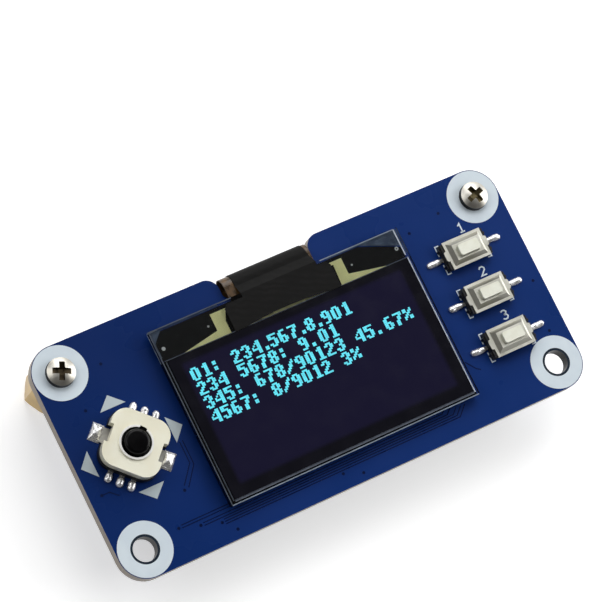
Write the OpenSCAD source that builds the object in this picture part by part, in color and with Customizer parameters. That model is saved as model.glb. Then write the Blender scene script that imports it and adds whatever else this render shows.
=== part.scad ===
// Small OLED add-on module: a plug-on circuit board with a display panel, a five-way
// joystick and three push keys, a socket header underneath and two screwed standoffs.
// Millimetres. The origin is the centre of the four-hole pattern, in the plane of the
// standoffs' feet; +Z is up, out of the display, +X runs along the board to the keys.

/* [Circuit board] */
// Length of the board
board_l = 65; // [63:0.5:70]
// Width of the board
board_w = 30; // [29.5:0.5:34]
// Thickness of the board
board_t = 1.6; // [1:0.1:2]
// Radius of the board's corners
corner_r = 3.5; // [1:0.5:5]
// Distance from each hole's centre to the two nearest edges
hole_inset = 3.5; // [3.5:0.1:4]
// Diameter of the four mounting holes
hole_d = 3; // [2.8:0.1:3.2]
// Depth of the notch that the flex passes through
notch_depth = 3.2; // [2.6:0.1:3.6]
// Radius of the notch's outer lips
notch_lip_r = 1.7; // [0.5:0.1:2.2]
// Radius that the cutter leaves in the notch's inner corners
notch_in_r = 0.8; // [0.4:0.1:1.2]

/* [Printed marks] */
// Thickness of the printed ink
ink_t = 0.03; // [0.02:0.01:0.06]
// Inner diameter of the printed rings, around the bare laminate
ring_in_d = 3.6; // [3.5:0.1:4]
// Bare margin between a printed ring and the board's edge
ring_margin = 0.1; // [0.05:0.05:0.6]
// Distance from the joystick's centre to the base of each arrow
arrow_in = 5.2; // [5:0.1:5.5]
// Length of each arrow
arrow_len = 1.6; // [1:0.1:1.8]
// Width of each arrow
arrow_w = 3.4; // [2:0.1:4]
// Width of the printed lines around the keys
line_w = 0.14; // [0.1:0.02:0.2]
// Length of a bracket's short arm along the key
line_arm = 0.6; // [0.4:0.1:0.9]

/* [Display panel] */
// Width of the panel
panel_w = 34.8; // [34:0.1:36]
// Height of the panel
panel_h = 22.9; // [22.5:0.1:23.5]
// Sideways place of the panel's centre
panel_x = -0.15; // [-0.5:0.05:0.5]
// Distance of the panel's upper edge inside the board's edge
panel_inset = 3.4; // [3.2:0.05:3.8]
// Thickness of the front glass
glass_t = 0.7; // [0.5:0.05:0.9]
// Thickness of the rear cap glass
cap_t = 0.7; // [0.5:0.05:0.9]
// Thickness of the adhesive pad under the panel
pad_t = 0.1; // [0.05:0.05:0.2]
// Margin of the pad inside the cap glass
pad_margin = 1.2; // [0.5:0.1:3]
// Depth of the front glass's ledge, past the cap glass
ledge = 3.95; // [3.6:0.05:4.3]
// How much smaller the cap glass is at each free side
cap_inset = 0.15; // [0.1:0.05:0.4]
// Thickness of the polariser film
film_t = 0.18; // [0.1:0.02:0.25]
// Margin of the film inside the glass, at the sides and bottom
film_margin = 0.6; // [0.4:0.1:1]
// Distance between the film's upper edge and the cap glass's
film_drop = 0.2; // [0.1:0.05:0.6]

/* [Ledge parts] */
// Length of the driver chip
chip_l = 12; // [9:0.5:14]
// Width of the driver chip
chip_w = 1.1; // [0.8:0.1:1.4]
// Thickness of the driver chip
chip_t = 0.3; // [0.2:0.05:0.4]
// Distance from the cap glass to the driver chip
chip_gap = 0.9; // [0.6:0.1:1.1]
// Thickness of the black light shield behind the ledge
shield_t = 0.05; // [0.03:0.01:0.1]
// Margin of the light shield inside the ledge
shield_margin = 0.3; // [0.2:0.05:0.6]
// Size of the light shield's cut corner over the joystick side
shield_cut_l = 1.3; // [0.5:0.1:2]
// Length of the light shield's long slanted corner over the key side
shield_slant_l = 5.2; // [2:0.1:7]
// Height of the light shield's long slanted corner
shield_slant_h = 2.1; // [1:0.1:2.6]

/* [Flex tail] */
// Width of the flex where it passes through the notch
flex_w = 12; // [10:0.5:13]
// Thickness of the flex
flex_t = 0.1; // [0.06:0.02:0.14]
// Clearance between the flex and each side of the notch
flex_gap = 0.3; // [0.2:0.1:0.8]
// Length of the flex that is bonded to the ledge
bond_l = 1.2; // [0.8:0.1:1.4]
// Distance of the flex's fold inside the board's edge
fold_inset = 0.6; // [0.3:0.1:1.2]
// Width of the flex's soldered end
tail_w = 22; // [21.5:0.5:24]
// Depth of the flex's wide soldered end
tail_h = 4.8; // [4:0.1:6]
// Distance of the soldered end's edge from the board's centre line
tail_y = 2; // [0:0.5:4]
// Number of soldered joints
joint_n = 30; // [10:1:30]
// Spacing of the soldered joints
joint_pitch = 0.7; // [0.6:0.05:0.7]
// Width of a soldered joint
joint_w = 0.36; // [0.25:0.01:0.4]
// Length of a soldered joint
joint_l = 1.7; // [1.2:0.1:2.2]
// Height of the solder on a joint
joint_h = 0.14; // [0.1:0.02:0.2]
// Distance of the joints from the tail's edge
joint_margin = 0.35; // [0.2:0.05:0.8]

/* [Flex tape] */
// Thickness of the black tape
tape_t = 0.09; // [0.05:0.01:0.12]
// Distance from the panel's middle to the tape's joystick-side edge over the flex
tape_neck_left = 4.7; // [4:0.1:5.5]
// Distance from the panel's middle to the tape's key-side edge over the flex
tape_neck_right = 5.4; // [4:0.1:5.6]
// How much wider the tape is at the glass's edge than at the fold, on the key side
tape_flare = 0.4; // [0.1:0.1:0.6]
// Width of the tape over the ledge
tape_body_w = 14.8; // [13:0.2:16]
// Distance from the film to the tape's lower edge at its ends
tape_low = 0.1; // [0.05:0.05:0.3]
// Width of the shallow arch that is cut out of the tape's lower edge
tape_arch_w = 12.2; // [10:0.2:13]
// Height of the arch
tape_arch_h = 0.4; // [0.2:0.05:0.6]
// Height of the tape's shoulder below the glass's upper edge
tape_shoulder = 0.55; // [0.4:0.05:1]
// Inset of the tape's slanted shoulder corners
tape_cut = 0.5; // [0.2:0.1:1]
// Distance past the glass at which the tape reaches the flex
tape_ramp = 1.1; // [0.8:0.1:1.2]
// Angle that the tape follows round the fold
tape_wrap = 150; // [100:10:170]

/* [Socket header] */
// Number of sockets in a row
pin_n = 20; // [10:1:20]
// Spacing of the sockets
pin_pitch = 2.54; // [2.5:0.01:2.54]
// Width of the header's body
header_w = 5; // [4.9:0.1:5.4]
// Height of the header's body
header_h = 4.4; // [3.6:0.1:4.8]
// End wall of the header past its last socket's square
header_end = 0.1; // [0.05:0.05:0.4]
// Height of the contact feet that lift the body off the board
foot_t = 0.15; // [0.1:0.05:0.25]
// Width of a contact
contact_w = 0.5; // [0.4:0.05:0.6]
// How far a contact's foot stands out of the body
foot_out = 0.9; // [0.7:0.05:0.95]
// Width of each square socket hole
socket_w = 0.9; // [0.8:0.05:1]
// Depth of each socket hole
socket_depth = 3.6; // [3:0.1:3.6]
// Thickness of a contact's spring leaf
leaf_t = 0.12; // [0.08:0.02:0.14]

/* [Standoffs and screws] */
// Height of the standoffs
standoff_h = 7; // [6.5:0.5:9]
// Width across the standoff's flats
standoff_af = 5; // [4.5:0.1:5.5]
// Diameter of the tapped holes
thread_d = 2.5; // [2.3:0.1:2.6]
// Depth of the tapped stretch at each end of a standoff
thread_depth = 3; // [2.5:0.1:3]
// Diameter of the clear middle between the two tapped stretches
relief_d = 2.9; // [2.8:0.1:3.2]
// Chamfer at the ends of a standoff
standoff_chamfer = 0.3; // [0.1:0.05:0.4]
// Length of the screws under the head
screw_l = 4.4; // [3.6:0.1:4.6]
// Clearance between a screw's shank and its tapped hole, on the radius
screw_gap = 0.02; // [0.01:0.01:0.05]
// Diameter of the screws' heads
head_d = 3.5; // [3.4:0.1:3.6]
// Height of the screws' heads
head_h = 1.3; // [1.1:0.1:1.5]
// Height of the head's straight rim
head_rim = 0.75; // [0.3:0.05:0.8]
// Length across the cross recess
recess_l = 2.3; // [1.6:0.1:2.4]
// Width of a wing of the cross recess
recess_w = 0.7; // [0.4:0.05:0.8]
// Width of the cross recess's conical middle
recess_core = 1.3; // [1:0.1:1.4]
// Depth of the cross recess
recess_depth = 0.9; // [0.5:0.1:1]
// Turn of the cross recess in the screw on the joystick side
recess_turn_left = 65; // [0:5:90]
// Turn of the cross recess in the screw on the key side
recess_turn_right = 18; // [0:1:90]

/* [Joystick] */
// Shift of the joystick from the middle of the board's bare end
joy_shift = 0.025; // [-0.2:0.025:0.5]
// Place of the joystick's centre across the board
joy_y = 0.1; // [-1:0.1:1]
// Turn of the joystick's body to the board
joy_turn = 45; // [0:5:90]
// Width of the moulded base
joy_base_w = 7.5; // [7.4:0.05:7.7]
// Height of the moulded base
joy_base_h = 0.95; // [0.9:0.05:1.1]
// Thickness of the base's floor
joy_floor = 0.5; // [0.4:0.05:0.55]
// Diameter of the cavity in the base
joy_cavity_d = 5.4; // [5.3:0.05:5.5]
// Radius of the base's and cover's corners
joy_corner_r = 1.9; // [1.5:0.1:2.1]
// Width of the metal cover
joy_cover_w = 7.3; // [7.2:0.05:7.4]
// Height of the metal cover above the base
joy_cover_h = 1.25; // [1.2:0.05:1.4]
// Thickness of the cover's sheet
joy_sheet = 0.22; // [0.15:0.01:0.24]
// Depth of the two recesses where the cover's tabs fold down
joy_recess = 0.5; // [0.4:0.05:0.55]
// Width of the two recesses
joy_recess_w = 2.3; // [2.2:0.1:2.6]
// Width of the cover's solder tabs
joy_tab_w = 1.9; // [1.5:0.1:2]
// Distance from the joystick's centre to a tab's tip
joy_tab_reach = 5; // [4.6:0.1:5.1]
// Inner diameter of the collar round the stick
joy_collar_in = 3.7; // [3.65:0.05:4]
// Thickness of the collar
joy_collar_wall = 0.25; // [0.15:0.01:0.3]
// Height of the collar above the cover
joy_collar_h = 0.22; // [0.1:0.02:0.3]
// Spacing of the three legs on each side
joy_leg_pitch = 1.45; // [1.3:0.05:1.6]
// Width of a leg
joy_leg_w = 0.6; // [0.4:0.05:0.7]
// Thickness of a leg
joy_leg_t = 0.15; // [0.1:0.01:0.2]
// Distance from the joystick's centre to a leg's tip
joy_leg_reach = 4.9; // [4.5:0.1:5]
// Diameter of the two locating pegs
joy_peg_d = 0.7; // [0.5:0.05:0.9]
// Length of the locating pegs
joy_peg_l = 1; // [0.5:0.1:1]
// Distance of the locating pegs from the joystick's centre
joy_peg_r = 2.6; // [2:0.1:2.8]
// Clearance round a locating peg, on the radius
joy_peg_gap = 0.06; // [0.03:0.01:0.1]

/* [Joystick rocker] */
// Outer diameter of the rocker ring
rock_ring_d = 5.2; // [5.1:0.05:5.2]
// Radial width of the rocker ring
rock_ring_w = 0.4; // [0.3:0.05:0.45]
// Clearance between the ring and the plate inside it, on the radius
rock_gap = 0.12; // [0.1:0.01:0.15]
// Thickness of the ring and the plate
rock_t = 0.4; // [0.3:0.05:0.42]
// Height of the rocker above the base's floor
rock_lift = 0.55; // [0.5:0.05:0.6]
// Height of the side leaves' tips above the base's floor
leaf_h = 0.18; // [0.12:0.01:0.2]
// Width of a side leaf
leaf_w = 0.7; // [0.5:0.05:0.8]
// Thickness of a side leaf
leaf_sheet = 0.07; // [0.05:0.01:0.08]
// Distance of a side leaf's foot from the joystick's centre
leaf_in = 1.5; // [1.3:0.05:1.6]
// Length of a side leaf's flat foot
leaf_foot = 0.35; // [0.2:0.05:0.4]
// Distance of a side leaf's tip from the joystick's centre
leaf_out = 2.5; // [2.3:0.05:2.55]
// Height of the centre dome
mid_dome_h = 0.38; // [0.3:0.02:0.4]
// Radius of the centre dome
mid_dome_r = 1.1; // [1:0.05:1.2]
// Thickness of all spring domes
dome_t = 0.07; // [0.05:0.01:0.08]

/* [Joystick stick] */
// Diameter of the stick's head
stick_d = 3.1; // [3:0.05:3.15]
// Height of the stick's top above the circuit board
stick_top = 3; // [2.9:0.05:3.4]
// Rounding of the stick's top edge
stick_round = 0.4; // [0.2:0.05:0.6]
// Diameter of the stick's shaft
shaft_d = 1.8; // [1.4:0.1:1.9]
// Clearance of the shaft in the rocker plate, on the radius
shaft_gap = 0.05; // [0.03:0.01:0.08]
// Gap between the shaft's end and the centre dome
shaft_lift = 0.07; // [0.05:0.01:0.1]
// Gap between the rocker plate and the stick's head
head_gap = 0.33; // [0.3:0.01:0.36]
// Length of the key rib at the head's side
rib_l = 0.22; // [0.1:0.02:0.24]
// Width of the key rib
rib_w = 0.4; // [0.3:0.05:0.6]
// Clearance on each side of the key rib in the collar's notch
rib_gap = 0.26; // [0.24:0.01:0.4]
// Direction of the key rib
rib_turn = 38; // [0:1:90]

/* [Keys] */
// Number of keys
key_n = 3; // [1:1:3]
// Shift of the keys from the middle of the board's bare end
key_shift = -0.375; // [-0.5:0.025:0]
// Place of the middle key across the board
key_y = -0.35; // [-0.6:0.05:0.5]
// Spacing of the keys
key_pitch = 6.04; // [5:0.02:6.2]
// Length of the moulded base
key_base_l = 6.1; // [6:0.05:6.3]
// Width of the moulded base
key_base_w = 3.4; // [3.3:0.05:3.5]
// Height of the moulded base
key_base_h = 1.15; // [1.1:0.05:1.3]
// Thickness of the base's floor
key_floor = 0.4; // [0.3:0.05:0.45]
// Length of the cavity in the base
key_cavity_l = 4.4; // [4:0.1:4.4]
// Width of the cavity in the base
key_cavity_w = 2.4; // [2.3:0.05:2.5]
// Radius of the ribs on the base's ends
key_rib_r = 0.26; // [0.2:0.02:0.3]
// Distance of the ribs from the key's centre line
key_rib_y = 1.05; // [1:0.05:1.2]
// Length of the cover's flange
key_flange_l = 5.45; // [5.3:0.05:5.6]
// Width of the cover's flange
key_flange_w = 3.65; // [3.5:0.05:3.7]
// Thickness of the cover's sheet
key_sheet = 0.15; // [0.1:0.01:0.18]
// Length of the raised part at its foot
key_raise_l = 4.75; // [4.7:0.05:4.9]
// Width of the raised part at its foot
key_raise_w = 2.95; // [2.9:0.05:3]
// Run of the raised part's slopes
key_slope = 0.46; // [0.4:0.01:0.5]
// Height of the raised part above the flange
key_raise_h = 0.55; // [0.5:0.01:0.6]
// Width of the cover's ears
key_ear_w = 1.3; // [1:0.1:1.6]
// Width of a terminal
key_leg_w = 0.5; // [0.4:0.05:0.6]
// Thickness of a terminal
key_leg_t = 0.15; // [0.1:0.01:0.2]
// Distance from the key's centre to a terminal's tip
key_leg_reach = 4.9; // [4.5:0.1:5]
// Clearance of the printed line round a key's base
key_line_gap = 0.1; // [0.05:0.05:0.2]

/* [Key buttons] */
// Length of a button
button_l = 2.8; // [2.6:0.05:3.1]
// Width of a button
button_w = 1.4; // [1.3:0.05:1.45]
// Height of a button's top above the circuit board
button_top = 2.35; // [2.25:0.05:2.6]
// Clearance of the button in the cover's window, on each side
button_gap = 0.05; // [0.03:0.01:0.08]
// Overhang of the button's flange past its head, on each side
button_lip = 0.22; // [0.18:0.01:0.24]
// Thickness of the button's flange
button_lip_t = 0.3; // [0.2:0.02:0.32]
// Height of the button's flange above the base's rim
button_lip_z = 0.1; // [0.05:0.01:0.12]
// Diameter of the button's plunger
plunger_d = 1; // [0.8:0.1:1.2]
// Gap between the plunger and the dome
plunger_gap = 0.05; // [0.03:0.01:0.08]
// Height of a key's dome
key_dome_h = 0.5; // [0.4:0.02:0.5]
// Radius of a key's dome
key_dome_r = 1.1; // [1:0.05:1.15]

/* [Solder] */
// Width of the solder on a key's terminal
key_solder_w = 0.85; // [0.7:0.05:1]
// Length of the terminal's solder that keeps its full width
key_solder_full = 1.2; // [0.8:0.1:1.4]
// Gap between a key's base and the solder on its terminal
key_solder_gap = 0.1; // [0.05:0.05:0.4]
// How far the solder reaches past a terminal's or tab's tip
solder_past = 0.5; // [0.2:0.05:0.6]
// Width of the solder on a joystick leg
leg_solder_w = 0.94; // [0.7:0.02:1]
// Gap between the joystick's base and the solder on its legs
leg_solder_gap = 0.1; // [0.05:0.05:0.3]
// How far the solder reaches past a joystick leg's tip
leg_solder_past = 0.34; // [0.1:0.02:0.4]
// Width of the solder on a cover tab
tab_solder_w = 2.4; // [2.1:0.1:2.6]
// Length of the solder on a cover tab
tab_solder_l = 1.55; // [1.3:0.05:1.6]
// Height of the solder on a cover tab
tab_solder_h = 0.5; // [0.4:0.05:0.6]
// How far the solder reaches past a cover tab's tip
tab_solder_past = 0.34; // [0.1:0.02:0.4]

/* [Underside parts] */
// Number of small capacitors
cap_n = 5; // [1:1:6]
// Number of small resistors
res_n = 6; // [1:1:6]
// Length of the small parts
chip_part_l = 1.6; // [1.2:0.1:2]
// Width of the small parts
chip_part_w = 0.8; // [0.6:0.1:1]
// Height of the capacitors
cap_h = 0.8; // [0.6:0.1:1]
// Height of the resistors
res_h = 0.45; // [0.3:0.05:0.6]
// Spacing of the small parts
chip_part_pitch = 1.7; // [1.6:0.1:1.8]
// Sideways distance of the small parts from the board's centre
chip_part_x = 16; // [15:0.5:19]
// Place of the first small part across the board
chip_part_y = 0; // [-2:0.5:1]

/* [Hidden] */
$fn = 48;
cut = 1;                                   // how far a cutter runs past a face
eps = 0.02;                                // overlap of two cutters that meet

// Places on the board
under_z = standoff_h;                      // board's underside
top_z = standoff_h + board_t;              // board's top face
hole_x = board_l / 2 - hole_inset;
hole_y = board_w / 2 - hole_inset;
ring_out_d = 2 * (hole_inset - ring_margin);

// Display stack, above the board's top face
panel_top = board_w / 2 - panel_inset;
panel_low = panel_top - panel_h;
cap_top = panel_top - ledge;
glass_z = pad_t + cap_t;                   // rear face of the front glass
front_z = glass_z + glass_t;               // front face of the front glass
film_w = panel_w - 2 * film_margin;
film_top = cap_top - film_drop;
film_low = panel_low + film_margin;
chip_low = cap_top + chip_gap;
shield_z = glass_z - chip_t - shield_t;

// Flex: flat on the ledge's rear, one round fold, flat on the board's underside
notch_w = flex_w + 2 * flex_gap;
notch_low = board_w / 2 - notch_depth;
fold_r = (glass_z + board_t + flex_t) / 2; // outer radius of the fold
fold_z = glass_z - fold_r;
fold_y = board_w / 2 - fold_inset - fold_r;
bond_y = panel_top - bond_l;
fold_step = 10;                            // degrees between points on the fold

// Header
header_l = pin_n * pin_pitch + 2 * header_end;
header_top = under_z - foot_t;
header_low = header_top - header_h;
header_y = -hole_y;
row_y = pin_pitch / 2;

// Joystick, above the board's top face
joy_x = (panel_x - panel_w / 2 - board_l / 2) / 2 + joy_shift;
rock_z = joy_floor + rock_lift;            // underside of ring and plate
rock_in_d = rock_ring_d - 2 * rock_ring_w;
plate_d = rock_in_d - 2 * rock_gap;
head_z = rock_z + rock_t + head_gap;       // underside of the stick's head
shaft_z = joy_floor + mid_dome_h + shaft_lift;
cover_top = joy_base_h + joy_cover_h;
tab_root = joy_cover_w / 2 - joy_recess;   // outer face of the folded-down tab
tab_slack = 0.05;                          // gap between a tab and the base behind it

// Keys, above the board's top face
key_x = (panel_x + panel_w / 2 + board_l / 2) / 2 + key_shift;
flange_z = key_base_h;
lip_z = key_base_h + button_lip_z;
plunger_z = key_floor + key_dome_h + plunger_gap;

// ---------------------------------------------------------------- shared shapes

// A flat plate outline with round corners, centred.
module rounded_plate(l, w, r) {
    square([l - 2 * r, w], center = true);
    square([l, w - 2 * r], center = true);
    for (x = [-1, 1], y = [-1, 1])
        translate([x * (l / 2 - r), y * (w / 2 - r)]) circle(r);
}

// A block with four sloping sides and mitred corners, standing on z = 0.
module sloped_block(l, w, run, h) {
    intersection() {
        rotate([90, 0, 0])
            linear_extrude(w, center = true)
                polygon([[-l / 2, 0], [l / 2, 0], [l / 2 - run, h], [run - l / 2, h]]);
        rotate([90, 0, 90])
            linear_extrude(l, center = true)
                polygon([[-w / 2, 0], [w / 2, 0], [w / 2 - run, h], [run - w / 2, h]]);
    }
}

// A shallow spring dome of sheet metal, standing on z = 0.
module spring_dome(r, h) {
    ball = (r * r + h * h) / (2 * h);
    rotate_extrude()
        intersection() {
            translate([0, h - ball])
                difference() {
                    circle(ball);
                    circle(ball - dome_t);
                }
            square([r + cut, h]);
        }
}

// The upper half of a capsule lying along X: solder on a straight terminal.
module solder_finger(l, w) {
    intersection() {
        union() {
            rotate([0, 90, 0]) cylinder(d = w, h = l - w, center = true);
            for (s = [-1, 1]) translate([s * (l - w) / 2, 0, 0]) sphere(d = w);
        }
        translate([-l, -w, 0]) cube([2 * l, 2 * w, w]);
    }
}

// A low cushion of solder, crowned both ways, standing on z = 0.
module solder_cushion(l, w, h) {
    crown_l = (l * l / 4 + h * h) / (2 * h);
    crown_w = (w * w / 4 + h * h) / (2 * h);
    intersection() {
        translate([0, 0, h - crown_l])
            rotate([90, 0, 0]) cylinder(r = crown_l, h = w, center = true);
        translate([0, 0, h - crown_w])
            rotate([0, 90, 0]) cylinder(r = crown_w, h = l, center = true);
        translate([-l / 2, -w / 2, 0]) cube([l, w, h]);
    }
}

module on_board() { translate([0, 0, top_z]) children(); }
module on_panel() { translate([panel_x, 0, top_z]) children(); }
module at_joystick() { translate([joy_x, joy_y, top_z]) rotate(joy_turn) children(); }
module at_key(k) { translate([key_x, key_y + ((key_n + 1) / 2 - k) * key_pitch, top_z]) children(); }

// ---------------------------------------------------------------- circuit board

module notch_outline() {
    translate([panel_x, notch_low + (notch_depth + cut) / 2])
        rounded_plate(notch_w, notch_depth + cut, notch_in_r);
    for (s = [-1, 1])
        translate([panel_x + s * (notch_w / 2 + notch_lip_r / 2), board_w / 2 - notch_lip_r / 2])
            difference() {
                square([notch_lip_r, notch_lip_r], center = true);
                translate([s * notch_lip_r / 2, -notch_lip_r / 2]) circle(notch_lip_r);
            }
}

module circuit_board() {
    color("midnightblue")
        translate([0, 0, under_z])
            linear_extrude(board_t)
                difference() {
                    rounded_plate(board_l, board_w, corner_r);
                    notch_outline();
                    for (x = [-1, 1], y = [-1, 1])
                        translate([x * hole_x, y * hole_y]) circle(d = hole_d);
                    translate([joy_x, joy_y])
                        rotate(joy_turn)
                            for (s = [-1, 1])
                                translate([s * joy_peg_r, 0]) circle(joy_peg_d / 2 + joy_peg_gap);
                }
}

module printed_arrow() {
    polygon([[arrow_in, -arrow_w / 2], [arrow_in + arrow_len, 0], [arrow_in, arrow_w / 2]]);
}

// The two brackets of printed line that show at the ends of a key.
module printed_key_brackets() {
    l = key_base_l + 2 * (key_line_gap + line_w);
    w = key_base_w + 2 * (key_line_gap + line_w);
    difference() {
        square([l, w], center = true);
        square([l - 2 * line_w, w - 2 * line_w], center = true);
        square([l + cut, key_solder_w + 2 * line_w], center = true);
        square([l - 2 * line_arm, w + cut], center = true);
    }
}

module printed_marks() {
    color("gainsboro")
        on_board()
            linear_extrude(ink_t) {
                for (x = [-1, 1], y = [-1, 1])
                    translate([x * hole_x, y * hole_y])
                        difference() {
                            circle(d = ring_out_d);
                            circle(d = ring_in_d);
                        }
                for (a = [0:90:270])
                    intersection() {
                        translate([joy_x, joy_y]) rotate(a) printed_arrow();
                        square([board_l - 2 * ring_margin, board_w - 2 * ring_margin], center = true);
                    }
                for (k = [1:key_n])
                    translate([key_x, key_y + ((key_n + 1) / 2 - k) * key_pitch])
                        printed_key_brackets();
            }
}

// ---------------------------------------------------------------- display panel

module panel_pad() {
    l = panel_w - 2 * pad_margin;
    w = cap_top - panel_low - 2 * pad_margin;
    color("dimgray")
        on_panel()
            translate([-l / 2, panel_low + pad_margin, 0]) cube([l, w, pad_t]);
}

module cap_glass() {
    l = panel_w - 2 * cap_inset;
    color("slategray", 0.6)
        on_panel()
            translate([-l / 2, panel_low + cap_inset, pad_t])
                cube([l, cap_top - panel_low - cap_inset, cap_t]);
}

module front_glass() {
    color("lightsteelblue", 0.4)
        on_panel()
            translate([-panel_w / 2, panel_low, glass_z]) cube([panel_w, panel_h, glass_t]);
}

module polariser() {
    color([0.08, 0.07, 0.11])
        on_panel()
            translate([-film_w / 2, film_low, front_z]) cube([film_w, film_top - film_low, film_t]);
}

module driver_chip() {
    color([0.15, 0.15, 0.17])
        on_panel()
            translate([-chip_l / 2, chip_low, glass_z - chip_t]) cube([chip_l, chip_w, chip_t]);
}

// Black film behind the ledge, with its two upper corners cut away.
module light_shield() {
    l = panel_w / 2 - shield_margin;
    low = cap_top + shield_margin / 2;
    high = panel_top - shield_margin;
    color([0.03, 0.03, 0.03])
        on_panel()
            translate([0, 0, shield_z])
                linear_extrude(shield_t)
                    polygon([[-l, low], [l, low], [l, high - shield_slant_h],
                             [l - shield_slant_l, high], [shield_cut_l - l, high],
                             [-l, high - shield_cut_l]]);
}

// ---------------------------------------------------------------- flex and tape

// Section of a band that lies outside the fold, from its radius r to r + t,
// between two angles measured from straight up towards the notch.
function fold_arc(r, from, to) =
    let (n = max(2, ceil(abs(to - from) / fold_step)))
    [for (i = [0:n]) let (a = from + (to - from) * i / n)
        [fold_y + r * sin(a), fold_z + r * cos(a)]];

// Turns a section drawn in Y and Z into a band of width w across the module.
module band(w) {
    on_panel()
        rotate([90, 0, 90]) linear_extrude(w, center = true) children();
}

module flex_tail() {
    low = -board_t - flex_t;
    color("darkgoldenrod") {
        band(flex_w)
            polygon(concat(
                [[bond_y, glass_z]], fold_arc(fold_r, 0, 180), [[tail_y + tail_h, low]],
                [[tail_y + tail_h, -board_t]], fold_arc(fold_r - flex_t, 180, 0),
                [[bond_y, glass_z - flex_t]]));
        on_panel()
            translate([0, tail_y + tail_h / 2, low])
                linear_extrude(flex_t) rounded_plate(tail_w, tail_h, notch_in_r);
    }
}

module flex_solder() {
    color("silver")
        on_panel()
            for (i = [0:joint_n - 1])
                translate([(i - (joint_n - 1) / 2) * joint_pitch, tail_y + joint_l / 2 + joint_margin,
                           -board_t - flex_t - joint_h])
                    translate([-joint_w / 2, -joint_l / 2, 0]) cube([joint_w, joint_l, joint_h]);
}

module flex_tape() {
    high = panel_top - tape_shoulder;
    low = film_top + tape_low;
    arch_r = (tape_arch_w * tape_arch_w / 4 + tape_arch_h * tape_arch_h) / (2 * tape_arch_h);
    flat = fold_arc(fold_r + tape_t, 0, tape_wrap);
    under = fold_arc(fold_r, tape_wrap, 0);
    ramp = panel_top + tape_ramp;
    color([0.2, 0.19, 0.18]) {
        // over the ledge, stuck to the front glass
        on_panel()
            translate([0, 0, front_z])
                linear_extrude(tape_t)
                    difference() {
                        polygon([[-tape_body_w / 2, low], [tape_body_w / 2, low],
                                 [tape_body_w / 2, high - tape_cut], [tape_body_w / 2 - tape_cut, high],
                                 [tape_cut - tape_body_w / 2, high], [-tape_body_w / 2, high - tape_cut]]);
                        translate([0, low + tape_arch_h - arch_r]) circle(arch_r);
                    }
        // over the glass's edge, down onto the flex and round its fold
        intersection() {
            band(2 * max(tape_neck_left, tape_neck_right + tape_flare))
                polygon(concat(
                    [[high, front_z + tape_t], [panel_top, front_z + tape_t],
                     [ramp, glass_z + tape_t]],
                    flat, under,
                    [[ramp, glass_z], [panel_top, front_z], [high, front_z]]));
            on_panel()
                translate([0, 0, -board_w / 2])
                    linear_extrude(board_w)
                        polygon([[-tape_neck_left, high - tape_cut],
                                 [tape_neck_right + tape_flare, high - tape_cut],
                                 [tape_neck_right + tape_flare, panel_top],
                                 [tape_neck_right, board_w / 2 - fold_inset],
                                 [tape_neck_right, board_w / 2 + fold_inset],
                                 [-tape_neck_left, board_w / 2 + fold_inset]]);
        }
    }
}

// ---------------------------------------------------------------- socket header

module socket_places() {
    for (i = [0:pin_n - 1], s = [-1, 1])
        translate([(i - (pin_n - 1) / 2) * pin_pitch, header_y + s * row_y, header_low])
            rotate(s > 0 ? 0 : 180) children();
}

module header_body() {
    color([0.07, 0.07, 0.07])
        difference() {
            translate([-header_l / 2, header_y - header_w / 2, header_low])
                cube([header_l, header_w, header_h]);
            // square socket holes, and the slots that the contacts leave by
            socket_places() {
                translate([-socket_w / 2, -socket_w / 2, -cut])
                    cube([socket_w, socket_w, socket_depth + cut]);
                translate([-contact_w / 2, 0, header_h - 2 * foot_t])
                    cube([contact_w, header_w, 2 * foot_t + cut]);
                translate([-contact_w / 2, 0, socket_depth - cut])
                    cube([contact_w, socket_w / 2, header_h - socket_depth + cut]);
            }
        }
}

// One stamped contact: a spring leaf in the socket, a riser and a foot on the board.
module header_contact() {
    back = socket_w / 2;
    translate([-contact_w / 2, back - leaf_t, leaf_t]) cube([contact_w, leaf_t, header_h - leaf_t]);
    translate([-contact_w / 2, back - leaf_t, header_h])
        cube([contact_w, header_w / 2 - row_y + foot_out - back + leaf_t, foot_t]);
}

module header_contacts() {
    color("gold") socket_places() header_contact();
}

// ---------------------------------------------------------------- standoffs and screws

module standoff() {
    corner_d = standoff_af / cos(30);
    color("goldenrod")
        difference() {
            intersection() {
                cylinder(d = corner_d, h = standoff_h, $fn = 6);
                rotate_extrude()
                    polygon([[0, 0], [corner_d / 2 - standoff_chamfer, 0],
                             [corner_d / 2, standoff_chamfer],
                             [corner_d / 2, standoff_h - standoff_chamfer],
                             [corner_d / 2 - standoff_chamfer, standoff_h], [0, standoff_h]]);
            }
            translate([0, 0, -cut]) cylinder(d = thread_d, h = standoff_h + 2 * cut);
            translate([0, 0, thread_depth])
                cylinder(d = relief_d, h = standoff_h - 2 * thread_depth);
        }
}

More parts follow.
